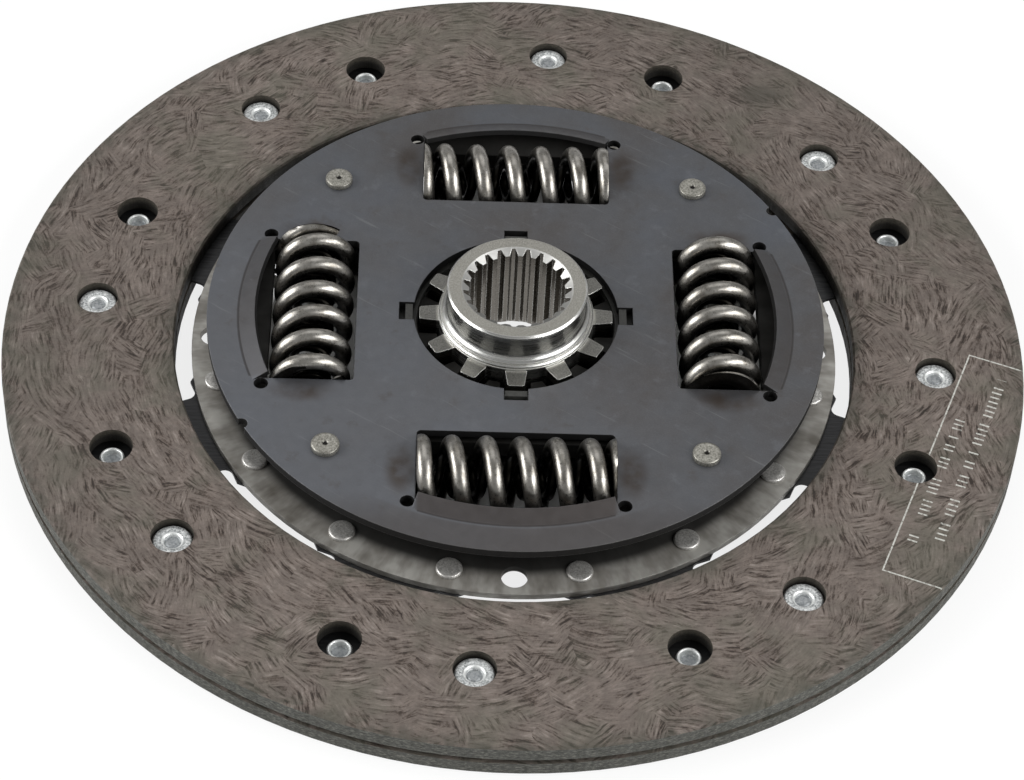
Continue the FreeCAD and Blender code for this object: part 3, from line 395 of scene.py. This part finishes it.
def printed_frame(graph, colour):
    """A worn white frame, open to the rim, with two rows of plain strokes."""
    # The frame's corner and direction, as seen from the photograph's side of the disc.
    corner = Vector((107.4, 2.1))
    corner.rotate(Matrix.Rotation(math.radians(CAMERA_TURN), 2))
    run = math.radians(-108.9 + CAMERA_TURN)
    moved = graph.vector("SUBTRACT", graph.place, (corner.x, corner.y, 0.0))
    along, inward, _ = graph.parts(graph.turned(moved, -run))
    length = 71.3
    reach = 14.0
    stroke = 0.36
    row_height = 2.3
    long_side = graph.times(graph.band(along, 0.0, length), graph.band(inward, 0.0, stroke))
    far_end = graph.band(along, length - stroke, length)
    ends = graph.math("MAXIMUM", graph.band(along, 0.0, stroke), far_end)
    marks = graph.math("MAXIMUM", long_side, graph.times(ends, graph.band(inward, 0.0, reach)))
    for start, stop, row, pitch in ((5.0, 65.0, 8.3, 1.55), (20.0, 61.0, 2.7, 1.4)):
        step = graph.math("DIVIDE", along, pitch)
        chance = graph.nodes.new("ShaderNodeTexWhiteNoise")
        chance.noise_dimensions = "1D"
        graph.put(chance.inputs["W"], graph.math("FLOOR", step))
        strokes = graph.times(
            graph.math("LESS_THAN", graph.math("FRACT", step), 0.3),
            graph.math("GREATER_THAN", chance.outputs["Value"], 0.28),
            graph.band(along, start, stop),
            graph.band(inward, row, row + row_height),
        )
        marks = graph.math("MAXIMUM", marks, strokes)
    worn = graph.ease(graph.noise(graph.place, 1.3, 4.0, 0.7), 0.32, 0.56, 0.12, 0.85)
    top = graph.math("GREATER_THAN", graph.z, FACING_FACE - 0.2)
    return graph.tint(colour, graph.times(marks, worn, top), (196, 197, 190))


def window_place(graph):
    """How far out and how far along a window a point lies, the same for all four windows."""
    wide = graph.math("ABSOLUTE", graph.x)
    deep = graph.math("ABSOLUTE", graph.y)
    return graph.math("MAXIMUM", wide, deep), graph.math("MINIMUM", wide, deep)


def cover_tones_and_sheen(graph, fine):
    """Charcoal with blotches and faint wipes, and a painted sheen that makes it a little paler in front.
    """
    cloud = graph.noise(graph.place, 0.045, 3.0, 0.55)
    colour = graph.ramp(cloud, [
        (0.32, srgb(83, 86, 92)),
        (0.5, srgb(82, 83, 86)),
        (0.68, srgb(78, 76, 76)),
    ])
    # Painted sheen: the sheet is paler towards the front left.
    painted_sheen = graph.ease(graph.math("ADD", graph.x, graph.y), 30.0, -80.0, 0.0, 0.6)
    colour = graph.tint(colour, painted_sheen, (96, 98, 103))
    colour = graph.tint(colour, graph.ease(fine, 0.35, 0.8, 0.0, 0.35), (100, 101, 104))
    blotch = graph.noise(graph.place, 0.16, 5.0, 0.68)
    colour = graph.tint(colour, graph.ease(blotch, 0.56, 0.72, 0.0, 0.4), (74, 69, 65))
    colour = graph.tint(colour, graph.ease(blotch, 0.44, 0.3, 0.0, 0.35), (104, 106, 111))
    wiped = graph.vector("MULTIPLY", graph.turned(graph.place, math.radians(34)), (0.05, 0.9, 1.0))
    wipes = graph.ease(graph.noise(wiped, 1.0, 3.0, 0.6), 0.62, 0.74)
    return graph.tint(colour, wipes, (124, 125, 126), 0.3)


def window_stains_and_shade(graph, colour, radius):
    """Brown stains at the windows' corners, lips darkened by painted shade and browner in front, and
    painted shade along each lip's base.
    """
    out, along = window_place(graph)
    stain_out = graph.math("DIVIDE", graph.math("SUBTRACT", out, 49.0), 7.0)
    stain_along = graph.math("DIVIDE", graph.math("SUBTRACT", along, 26.0), 3.4)
    spot = graph.length(graph.join(stain_out, stain_along))
    patchy = graph.ease(graph.noise(graph.place, 0.18, 3.0), 0.3, 0.6, 0.3, 0.9)
    colour = graph.tint(colour, graph.times(graph.ease(spot, 1.3, 0.3), patchy), (62, 54, 48))
    lip = graph.times(
        graph.ease(radius, LIP_EDGE - 0.7, LIP_EDGE + 0.2),
        graph.ease(radius, LIP_BASE + 0.6, LIP_BASE),
        graph.ease(along, WINDOW_HALF + 0.5, WINDOW_HALF - 1.0),
    )
    # Painted shade darkens the lips.
    colour = graph.tint(colour, lip, (70, 66, 64), 0.45)
    low_lip = graph.times(lip, graph.ease(graph.y, -46.0, -58.0, 0.0, 0.5))
    colour = graph.tint(colour, low_lip, (62, 54, 49))
    # Painted shade along the base of each lip.
    crease_shade = graph.times(
        graph.ease(radius, LIP_BASE - 0.1, LIP_BASE + 0.2),
        graph.ease(radius, LIP_BASE + 0.7, LIP_BASE + 0.4),
        graph.math("LESS_THAN", along, WINDOW_HALF - 0.5),
    )
    colour = graph.tint(colour, crease_shade, (44, 40, 38), 0.65)
    beyond_lip = graph.ease(radius, LIP_BASE + 0.4, LIP_BASE + 1.4, 0.0, 0.55)
    return graph.tint(colour, graph.times(graph.ease(graph.y, -54.0, -66.0), beyond_lip), (66, 60, 56))


def cover_steel():
    """Charcoal satin steel, stained round its windows, with painted shade on its walls and a painted
    highlight along its rim.
    """
    graph = Graph("cover_steel", metallic=0.6)
    _, radius = graph.polar()
    fine = graph.noise(graph.place, 3.0, 4.0, 0.65)
    colour = window_stains_and_shade(graph, cover_tones_and_sheen(graph, fine), radius)
    rounded, edge = graph.edges(0.3)
    outside = graph.ease(radius, COVER_RADIUS - 2.2, COVER_RADIUS - 1.2)
    # Painted shade on the cover's walls, darkest on the inner ones.
    walls = graph.ease(graph.upward, 0.75, 0.5)
    wall = graph.mix(outside, srgb(14, 13, 12), srgb(34, 33, 32))
    colour = graph.mix(graph.times(walls, 0.93), colour, wall)
    # A painted highlight along the rim's edges, strongest on the outside.
    rim = graph.times(edge, graph.math("MULTIPLY_ADD", outside, 0.25, 0.1))
    colour = graph.tint(colour, rim, (150, 150, 148))
    wear = graph.ease(graph.noise(graph.place, 0.4, 3.0), 0.3, 0.7, 0.4, 0.52)
    wear = graph.math("MULTIPLY_ADD", walls, 0.3, wear)
    return graph.finish(colour, wear, graph.bump(fine, 0.05, 0.35, rounded))


def carrier_steel():
    """Oiled sheet steel, smudged, with lighter rubbed places, and a painted shade under the cover."""
    graph = Graph("carrier_steel", metallic=0.4)
    angle, radius = graph.polar()
    rubbed = graph.join(graph.times(angle, 26.0), graph.times(radius, 0.12), graph.z)
    streak = graph.noise(rubbed, 0.9, 3.0, 0.6)
    cloud = graph.noise(graph.place, 0.09, 3.0, 0.6)
    both = graph.math("MULTIPLY_ADD", streak, 0.4, graph.times(cloud, 0.6))
    colour = graph.ramp(both, [
        (0.36, srgb(106, 102, 95)),
        (0.5, srgb(142, 139, 133)),
        (0.62, srgb(174, 172, 166)),
    ])
    # Painted shade where the carrier lies under the cover.
    under_cover = graph.ease(radius, COVER_RADIUS - 0.2, COVER_RADIUS - 3.7)
    under_cover = graph.times(under_cover, graph.ease(graph.z, 0.02, 0.3))
    colour = graph.tint(colour, under_cover, (15, 14, 12), 0.96)
    fine = graph.noise(graph.place, 2.5, 4.0, 0.6)
    wear = graph.math("MULTIPLY_ADD", under_cover, 0.35, graph.ease(cloud, 0.35, 0.65, 0.5, 0.36))
    return graph.finish(colour, wear, graph.bump(fine, 0.06, 0.35, graph.rounded(0.3)))


def hub_steel():
    """Turned bright steel: smooth on its walls, greyer on its end faces and dark between its teeth, with
    painted highlights on its edges and chamfer and painted shade low down.
    """
    graph = Graph("hub_steel", metallic=1.0)
    angle, radius = graph.polar()
    flat = graph.ease(graph.math("ABSOLUTE", graph.upward), 0.9, 0.97)
    unrolled = graph.join(graph.times(angle, 0.6), 0.0, graph.times(graph.z, 2.4))
    turned = graph.noise(unrolled, 2.0, 3.0, 0.6)
    wall = graph.ramp(turned, [(0.35, srgb(180, 180, 177)), (0.65, srgb(208, 208, 205))])
    bore = graph.ease(radius, SPLINE_RADIUS + 0.55, SPLINE_RADIUS - 0.05)
    wall = graph.tint(wall, bore, (120, 116, 110))
    slope = graph.times(graph.ease(graph.upward, 0.25, 0.4), graph.ease(graph.upward, 0.9, 0.8))
    mouth = graph.times(graph.ease(radius, 14.5, 14.0), graph.ease(graph.z, 18.0, 18.5))
    chamfer = graph.times(slope, mouth)
    # A painted highlight on the lead-in chamfer at the bore's mouth.
    wall = graph.tint(wall, chamfer, (212, 212, 209))
    speck = graph.noise(graph.place, 3.2, 3.0, 0.65)
    face = graph.ramp(speck, [
        (0.3, srgb(134, 132, 126)),
        (0.55, srgb(162, 160, 153)),
        (0.75, srgb(188, 186, 178)),
    ])
    toothed = graph.ease(radius, HUB_JOURNAL + 0.2, HUB_JOURNAL + 0.8)
    tooth_face = graph.ramp(speck, [(0.3, srgb(92, 91, 88)), (0.7, srgb(136, 135, 130))])
    face = graph.mix(toothed, face, tooth_face)
    wall = graph.tint(wall, toothed, (96, 93, 87))
    colour = graph.mix(flat, wall, face)
    rounded, edge = graph.edges(0.28)
    # A painted highlight along the edges, which also stands for edges worn bright.
    colour = graph.tint(colour, edge, (226, 226, 222), 0.75)
    # Painted shade on the hub below the level of its flange.
    painted_low_shade = graph.times(graph.ease(graph.z, 3.6, 2.6), graph.ease(radius, 13.2, 14.0))
    colour = graph.tint(colour, painted_low_shade, (50, 46, 40), 0.7)
    roughness = graph.math("MULTIPLY_ADD", flat, 0.2, graph.ease(turned, 0.3, 0.7, 0.2, 0.34))
    roughness = graph.math("MULTIPLY_ADD", chamfer, 0.2, roughness)
    ring = graph.bump(turned, 0.03, 0.3, rounded)
    return graph.finish(colour, roughness, graph.bump(speck, 0.04, 0.3, ring))


def wire_steel(name, dark, middle, light):
    """Oiled spring wire, with painted shade where it faces into its coil or its pocket and on its ground
    ends.
    """
    graph = Graph(name, metallic=1.0)
    cloud = graph.noise(graph.place, 0.35, 3.0, 0.6)
    fine = graph.noise(graph.place, 2.2, 3.0, 0.6)
    colour = graph.ramp(cloud, [(0.32, dark), (0.5, middle), (0.7, light)])
    out, along = window_place(graph)
    level = graph.math("SUBTRACT", graph.z, SPRING_LEVEL)
    off_axis = graph.length(graph.join(graph.math("SUBTRACT", out, SPRING_CIRCLE), level))
    # Painted shade where the wire faces into its coil or its pocket.
    pocket_shade = graph.ease(graph.math("ABSOLUTE", level), 3.7, 0.0, 0.0, 0.8)
    coil_shade = graph.ease(off_axis, 8.0, 6.4, 0.0, 0.95)
    colour = graph.tint(colour, graph.math("MAXIMUM", pocket_shade, coil_shade), (14, 13, 11))
    # Painted shade on the ground ends.
    ground = graph.ease(along, SPRING_LENGTH / 2 - 0.02, SPRING_LENGTH / 2 - 0.01, 0.0, 0.9)
    colour = graph.tint(colour, ground, (24, 22, 19))
    return graph.finish(colour, graph.ease(fine, 0.3, 0.7, 0.26, 0.38), graph.bump(fine, 0.04, 0.25))


def zinc_rivet(name, first, dark, middle, light, depth, ring_end):
    """Bright plated steel, speckled by its pressing, with a grey eye, a painted highlight on the ring
    round it and painted shade in the groove outside that.
    """
    graph = Graph(name, metallic=0.55)
    _, spots, _ = graph.cells(graph.place, 2.6)
    grain = graph.noise(graph.place, 2.1, 3.0, 0.7)
    random_grey = graph.parts(spots)[0]
    both = graph.math("MULTIPLY_ADD", random_grey, 0.3, graph.times(grain, 0.7))
    colour = graph.ramp(both, [(0.3, dark), (0.46, middle), (0.64, light)])
    off = graph.off_centre(first, RIVET_CIRCLE, RIVET_COUNT)
    colour = graph.tint(colour, graph.ease(off, 1.95, 1.7), (116, 120, 124), 0.7)
    # A painted highlight on the ring round the eye.
    ring = graph.times(graph.ease(off, 1.8, 2.0), graph.ease(off, ring_end + 0.2, ring_end))
    colour = graph.tint(colour, ring, (240, 242, 240), 0.8)
    # Painted shade in the groove outside the ring.
    groove_inside = graph.ease(off, ring_end, ring_end + 0.2)
    groove = graph.times(groove_inside, graph.ease(off, ring_end + 0.6, ring_end + 0.4))
    colour = graph.tint(colour, groove, (96, 98, 98), 0.3)
    return graph.finish(colour, graph.ease(grain, 0.3, 0.7, 0.5, 0.3), graph.bump(both, depth, 0.5))


def plate_rivet(name, dark, middle, light):
    """A grey pressed rivet with fine pits, and painted shade in the dimple where it is a spacer rivet.
    """
    graph = Graph(name, metallic=0.7)
    grain = graph.noise(graph.place, 2.6, 4.0, 0.7)
    pits = graph.ease(graph.noise(graph.place, 4.4, 2.0), 0.36, 0.3)
    colour = graph.ramp(grain, [(0.32, dark), (0.5, middle), (0.7, light)])
    colour = graph.mix(graph.times(pits, 0.5), colour, dark)
    # Painted shade in the spacer rivets' dimples.
    dimple = graph.ease(graph.off_centre(45, SPACER_CIRCLE, WINDOW_COUNT), 0.75, 0.4)
    colour = graph.tint(colour, dimple, (24, 22, 20))
    return graph.finish(colour, graph.ease(grain, 0.3, 0.7, 0.46, 0.3), graph.bump(grain, 0.08, 0.4))


def segment_steel():
    """Dark tempered spring sheet with faint rolling marks, and painted shade where it lies between the
    facings.
    """
    graph = Graph("segment_steel", metallic=0.8)
    rolled = graph.noise(graph.vector("MULTIPLY", graph.place, (0.15, 1.4, 1.0)), 1.2, 3.0, 0.6)
    colour = graph.ramp(rolled, [(0.3, srgb(42, 42, 43)), (0.7, srgb(70, 70, 71))])
    _, radius = graph.polar()
    # Painted shade where the sheet lies between the facings.
    between = graph.ease(radius, FACING_INNER + 2.0, FACING_INNER + 4.0)
    colour = graph.tint(colour, between, (36, 36, 36), 0.6)
    return graph.finish(colour, graph.ease(rolled, 0.3, 0.7, 0.36, 0.48), graph.bump(rolled, 0.04, 0.3))


def damper_plastic():
    """Grey moulded plastic with a faint grain."""
    graph = Graph("damper_plastic", roughness=0.55)
    grain = graph.noise(graph.place, 1.8, 4.0, 0.65)
    colour = graph.ramp(grain, [(0.3, srgb(34, 34, 32)), (0.7, srgb(58, 58, 55))])
    return graph.finish(colour, graph.ease(grain, 0.3, 0.7, 0.5, 0.64), graph.bump(grain, 0.08, 0.4))


def make_mesh(name, points, faces, material, body, replaced, smooth_angle=40.0):
    """A piece in the frame's own place, in metres, that rides on a body and stands for a node."""
    mesh = bpy.data.meshes.new(name)
    mesh.from_pydata([tuple(Vector(point) * MM) for point in points], [], faces)
    mesh.update()
    for polygon in mesh.polygons:
        polygon.use_smooth = True
    mesh.set_sharp_from_angle(angle=math.radians(smooth_angle))
    mesh.materials.append(material)
    piece = bpy.data.objects.new(name, mesh)
    bpy.context.scene.collection.objects.link(piece)
    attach(piece, body)
    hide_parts(replaced)
    return piece


def softened(corners, reach, steps=4):
    """An open profile with each inner corner rounded over a reach along both of its sides."""
    result = [Vector(corners[0])]
    for before, corner, after in zip(corners, corners[1:], corners[2:]):
        corner = Vector(corner)
        back = Vector(before) - corner
        forth = Vector(after) - corner
        start = corner + back.normalized() * min(reach, back.length * 0.45)
        end = corner + forth.normalized() * min(reach, forth.length * 0.45)
        for index in range(steps + 1):
            share = index / steps
            result.append((1 - share) ** 2 * start + 2 * share * (1 - share) * corner + share**2 * end)
    result.append(Vector(corners[-1]))
    return result


def lathe(profile, places, segments=40):
    """Points and faces of a profile of (radius, height), axis to axis, turned at each place."""
    points = []
    faces = []
    for place in places:
        rings = []
        for radius, height in profile:
            if radius < 1e-6:
                rings.append([len(points)])
                points.append(place @ Vector((0, 0, height)))
                continue
            ring = []
            for index in range(segments):
                angle = 2 * math.pi * index / segments
                ring.append(len(points))
                point = Vector((radius * math.cos(angle), radius * math.sin(angle), height))
                points.append(place @ point)
            rings.append(ring)
        for low, high in zip(rings, rings[1:]):
            for index in range(segments):
                following = (index + 1) % segments
                if len(low) == 1:
                    faces.append((low[0], high[following], high[index]))
                elif len(high) == 1:
                    faces.append((low[index], low[following], high[0]))
                else:
                    faces.append((low[index], low[following], high[following], high[index]))
    return points, faces


def turned_place(angle, radius, height, flip=False):
    """A place on a circle round the disc's axis."""
    place = Matrix.Rotation(math.radians(angle), 4, "Z") @ Matrix.Translation((radius, 0, height))
    if flip:
        place = place @ Matrix.Rotation(math.pi, 4, "X")
    return place


def facing_rivets(head_material, tail_material):
    """Semi-tubular rivets with a dished eye in the head and a rolled tail."""
    # The head's seat over the disc's middle, and what the rivet holds between its head and tail.
    seat = 1.8
    clamp = 1.8
    head = [
        (0.0, 0.42), (1.2, 0.38), (1.5, 0.12), (1.85, 0.05), (1.98, 0.6), (2.4, 0.96),
        (3.3, 1.02), (4.25, 0.9), (4.5, 0.55), (4.5, 0.0), (2.0, 0.0),
    ]
    tail = [
        (2.0, -clamp), (2.75, -clamp), (2.95, -clamp - 0.45), (2.7, -clamp - 1.0),
        (2.35, -clamp - 1.1), (2.02, -clamp - 0.8), (1.9, -clamp + 0.5), (0.0, -clamp + 0.6),
    ]
    profile = softened(head + tail, 0.28)
    profile.reverse()
    for side, first, name, material in (
        (1, FIRST_SHALLOW, "facing_rivets_gearbox_side", head_material),
        (-1, FIRST_DEEP, "facing_rivets_flywheel_side", tail_material),
    ):
        angles = [first + 360 / RIVET_COUNT * index for index in range(RIVET_COUNT)]
        places = [turned_place(angle, RIVET_CIRCLE, side * seat, side < 0) for angle in angles]
        points, faces = lathe(profile, places)
        make_mesh(name + "_detail", points, faces, material, "disc", name)


def segment_rivets(material):
    """Low button rivets on the carrier plate."""
    # The carrier's sheet and the segment's, which the rivet holds together.
    clamp = 2.3
    profile = softened([
        (0.0, 0.92), (1.6, 0.98), (2.75, 0.8), (3.05, 0.35), (3.0, 0.0), (2.0, 0.0),
        (2.0, -clamp), (3.0, -clamp), (3.0, -clamp - 0.6), (2.6, -clamp - 0.95), (0.0, -clamp - 1.0),
    ], 0.3)
    profile.reverse()
    places = []
    for index in range(RIVET_COUNT):
        middle = FIRST_DEEP + 360 / RIVET_COUNT * index
        for spread in (-SEGMENT_RIVET_SPREAD, SEGMENT_RIVET_SPREAD):
            places.append(turned_place(middle + spread, SEGMENT_RIVET_CIRCLE, CARRIER_TOP))
    points, faces = lathe(profile, places)
    make_mesh("segment_rivets_detail", points, faces, material, "disc", "segment_rivets")


def spacer_rivets(material):
    """Shouldered rivets with flat heads and a small centre dimple."""
    top = COVER_TOP
    under_cover = COVER_TOP - COVER_SHEET
    profile = softened([
        (0.0, top + 0.95), (0.35, top + 1.0), (0.8, top + 1.38), (2.7, top + 1.4), (3.2, top + 1.15),
        (3.28, top + 0.5), (3.25, top), (3.0, top), (3.0, under_cover), (4.0, under_cover),
        (4.0, CARRIER_TOP), (3.0, CARRIER_TOP), (3.0, 0.0), (3.25, 0.0), (3.25, -0.9),
        (2.8, -1.4), (0.0, -1.4),
    ], 0.16)
    profile.reverse()
    places = [turned_place(45 + 90 * index, SPACER_CIRCLE, 0) for index in range(WINDOW_COUNT)]
    points, faces = lathe(profile, places)
    make_mesh("spacer_rivets_detail", points, faces, material, "disc", "spacer_rivets")


def coil(mean_radius, wire, length, pitch, hand, round_points=18, turn_points=56):
    """Points and faces of a round-wire spring along its own Z, with closed and ground ends."""
    closed_pitch = wire * CLOSED_COIL_SPACING
    active = (length + wire * GROUND_AWAY - 2 * CLOSED_TURNS * closed_pitch) / pitch
    turns = active + 2 * CLOSED_TURNS
    stations = int(turns * turn_points)
    points = []
    faces = []
    for station in range(stations + 1):
        now = turns * (station / stations - 0.5)
        inner = min(abs(now), active / 2)
        rise = math.copysign(inner * pitch + (abs(now) - inner) * closed_pitch, now)
        local_pitch = pitch if abs(now) <= active / 2 else closed_pitch
        angle = 2 * math.pi * now * hand
        outward = Vector((math.cos(angle), math.sin(angle), 0))
        slope = local_pitch / (2 * math.pi * mean_radius)
        ahead = Vector((-math.sin(angle) * hand, math.cos(angle) * hand, slope)).normalized()
        across = ahead.cross(outward)
        centre = outward * mean_radius + Vector((0, 0, rise))
        for index in range(round_points):
            turn = 2 * math.pi * index / round_points
            point = centre + (outward * math.cos(turn) + across * math.sin(turn)) * wire / 2
            point.z = max(-length / 2, min(length / 2, point.z))
            points.append(point)
    for station in range(stations):
        for index in range(round_points):
            following = (index + 1) % round_points
            low = station * round_points
            high = low + round_points
            faces.append((low + index, low + following, high + following, high + index))
    faces.append(tuple(range(round_points - 1, -1, -1)))
    faces.append(tuple(range(stations * round_points, (stations + 1) * round_points)))
    return points, faces


def spring_set(label, shape, radius, level, first, turns, body, joint, material, keep):
    """Four springs along the tangents of a circle."""
    points, faces = shape
    for index, turn in enumerate(turns):
        angle = math.radians(first + 90 * index)
        seat = Matrix.Rotation(angle, 4, "Z") @ Matrix.Translation((radius, 0, level))
        lying = seat @ Matrix.Rotation(-math.pi / 2, 4, "X")
        place = lying @ Matrix.Rotation(math.radians(turn), 4, "Z")
        node = f"{label}_{index + 1}"
        placed = [place @ point for point in points]
        piece = make_mesh(node + "_wire", placed, faces, material, body, node, 50.0)
        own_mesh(piece)


def springs(bright, dark):
    """The nested damper springs and the small idle springs."""
    main = (SPRING_CIRCLE, SPRING_LEVEL, 0, SPRING_TURNS, "damper_springs", "damper_twist")
    outer = coil(mean_radius=7.55, wire=3.9, length=SPRING_LENGTH, pitch=7.8, hand=1)
    inner = coil(
        mean_radius=3.9,
        wire=2.4,
        length=SPRING_LENGTH - 0.6,
        pitch=5.2,
        hand=-1,
        round_points=12,
        turn_points=36,
    )
    small = coil(
        mean_radius=2.1,
        wire=0.8,
        length=10.4,
        pitch=2.0,
        hand=1,
        round_points=8,
        turn_points=24,
    )
    spring_set("outer_spring", outer, *main, bright, keep=0.825)
    spring_set("inner_spring", inner, *main, dark, keep=0.84)
    idle = (IDLE_CIRCLE, IDLE_LEVEL, 45, (0, 0, 0, 0), "idle_springs", "idle_twist")
    spring_set("idle_spring", small, *idle, bright, keep=0.84)


def dress_nodes(materials):
    """Gives each node that stays its material."""
    slots = {part["node"]: part["material_slot"] for part in frame["record"]["subparts"]}
    for name, node in frame["nodes"].items():
        for index in range(len(node.data.materials)):
            node.data.materials[index] = materials[slots[name]]


def studio():
    """A pale floor, soft lamps at the sides and behind, and an even pale surround."""
    floor_gap = 0.00005
    lamp_distance = 1.0
    surround_light = 0.36
    bpy.ops.mesh.primitive_plane_add(size=30, location=(0, 0, -FACING_FACE * MM - floor_gap))
    floor = bpy.context.object
    floor.name = "floor"
    graph = Graph("floor", roughness=0.9, specular=0.2)
    cloud = graph.noise(graph.place, 0.002, 2.0)
    shade = graph.ramp(cloud, [(0.3, srgb(246, 247, 246)), (0.7, srgb(251, 252, 251))])
    graph.finish(shade)
    # To the eye and in mirrors the floor is white, except in the shade under the damper.
    white = graph.nodes.new("ShaderNodeEmission")
    white.inputs["Color"].default_value = (1, 1, 1, 1)
    paths = graph.nodes.new("ShaderNodeLightPath").outputs
    mirrored = graph.math("MAXIMUM", paths["Is Glossy Ray"], paths["Is Transmission Ray"])
    seen = graph.math("MAXIMUM", paths["Is Camera Ray"], mirrored)
    blend = graph.nodes.new("ShaderNodeMixShader")
    _, radius = graph.polar()
    lit = graph.math("MAXIMUM", graph.ease(radius, 60.0, 62.5), graph.ease(radius, 26.0, 12.0))
    graph.put(blend.inputs[0], graph.times(seen, graph.times(lit, 0.8)))
    graph.put(blend.inputs[1], graph.shader.outputs[0])
    graph.put(blend.inputs[2], white.outputs[0])
    graph.put(graph.nodes["Material Output"].inputs["Surface"], blend.outputs[0])
    floor.data.materials.append(graph.material)

    # The surround lights the disc evenly, and looks white.
    world = bpy.data.worlds.new("surround")
    bpy.context.scene.world = world
    world.use_nodes = True
    nodes = world.node_tree.nodes
    links = world.node_tree.links
    paths = nodes.new("ShaderNodeLightPath")
    strength = nodes.new("ShaderNodeMix")
    strength.inputs["A"].default_value = surround_light
    strength.inputs["B"].default_value = 1.0
    links.new(paths.outputs["Is Camera Ray"], strength.inputs["Factor"])
    links.new(strength.outputs["Result"], nodes["Background"].inputs["Strength"])
    nodes["Background"].inputs["Color"].default_value = (1, 1, 1, 1)

    for name, azimuth, elevation, power, size in (
        ("lamp_left", 184, 30, 9, (0.9, 0.5)),
        ("lamp_right", -24, 34, 8, (0.9, 0.5)),
        ("lamp_back", 85, 60, 1.5, (0.8, 0.8)),
    ):
        lamp_data = bpy.data.lights.new(name, "AREA")
        lamp_data.shape = "RECTANGLE"
        lamp_data.size, lamp_data.size_y = size
        lamp_data.energy = power
        lamp = bpy.data.objects.new(name, lamp_data)
        turn = math.radians(azimuth + CAMERA_TURN)
        rise = math.radians(elevation)
        away = Vector((math.cos(turn) * math.cos(rise), math.sin(turn) * math.cos(rise), math.sin(rise)))
        lamp.location = away * lamp_distance
        lamp.rotation_euler = away.to_track_quat("Z", "Y").to_euler()
        bpy.context.scene.collection.objects.link(lamp)


def photograph_camera():
    """The camera at the photograph's place, with its lens."""
    rise = math.radians(CAMERA_ELEVATION)
    roll = math.radians(CAMERA_ROLL)
    back = Vector((0, -math.cos(rise), math.sin(rise)))
    right = Vector((1, 0, 0))
    up = back.cross(right)
    rolled_right = right * math.cos(roll) + up * math.sin(roll)
    rolled_up = up * math.cos(roll) - right * math.sin(roll)
    across, upward = CAMERA_SHIFT
    place = back * CAMERA_DISTANCE + rolled_right * across + rolled_up * upward
    turn = Matrix.Rotation(math.radians(CAMERA_TURN), 4, "Z")
    axes = Matrix((rolled_right, rolled_up, back)).transposed().to_4x4()
    camera_data = bpy.data.cameras.new("camera")
    camera_data.sensor_width = SENSOR_WIDTH
    camera_data.lens = FOCAL_PIXELS / PHOTO_WIDTH * SENSOR_WIDTH
    camera_data.clip_end = 50
    camera = bpy.data.objects.new("camera", camera_data)
    camera.matrix_world = turn @ Matrix.Translation(place * MM) @ axes
    bpy.context.scene.collection.objects.link(camera)
    bpy.context.scene.camera = camera


bpy.context.scene.view_settings.view_transform = "Standard"
photograph_camera()
studio()

# Each metal's dark, middle and light shade.
rivet_head_shades = (srgb(132, 136, 136), srgb(190, 193, 193), srgb(232, 234, 233))
rivet_tail_shades = (srgb(162, 167, 168), srgb(200, 204, 205), srgb(230, 233, 233))
segment_rivet_shades = (srgb(138, 136, 131), srgb(186, 184, 180), srgb(218, 217, 213))
spacer_rivet_shades = (srgb(92, 90, 84), srgb(142, 140, 132), srgb(176, 174, 166))
outer_wire_shades = (srgb(124, 120, 113), srgb(154, 151, 145), srgb(178, 175, 169))
# The inner wire's shades are darkened by painted shade, as it lies inside the outer coils.
inner_wire_painted_shades = (srgb(36, 34, 31), srgb(52, 50, 46), srgb(66, 64, 60))

materials = {
    "friction_lining": friction_lining(),
    "zinc_rivet": zinc_rivet("zinc_rivet", FIRST_SHALLOW, *rivet_head_shades, depth=0.1, ring_end=2.35),
    "segment_steel": segment_steel(),
    "carrier_steel": carrier_steel(),
    "cover_steel": cover_steel(),
    "hub_steel": hub_steel(),
    "spring_steel": wire_steel("spring_steel", *outer_wire_shades),
    "damper_plastic": damper_plastic(),
}
dress_nodes(materials)
rolled_tails = zinc_rivet("rolled_tail", FIRST_DEEP, *rivet_tail_shades, depth=0.04, ring_end=3.2)
facing_rivets(materials["zinc_rivet"], rolled_tails)
segment_rivets(plate_rivet("segment_rivet_steel", *segment_rivet_shades))
spacer_rivets(plate_rivet("spacer_rivet_steel", *spacer_rivet_shades))
springs(materials["spring_steel"], wire_steel("inner_wire", *inner_wire_painted_shades))
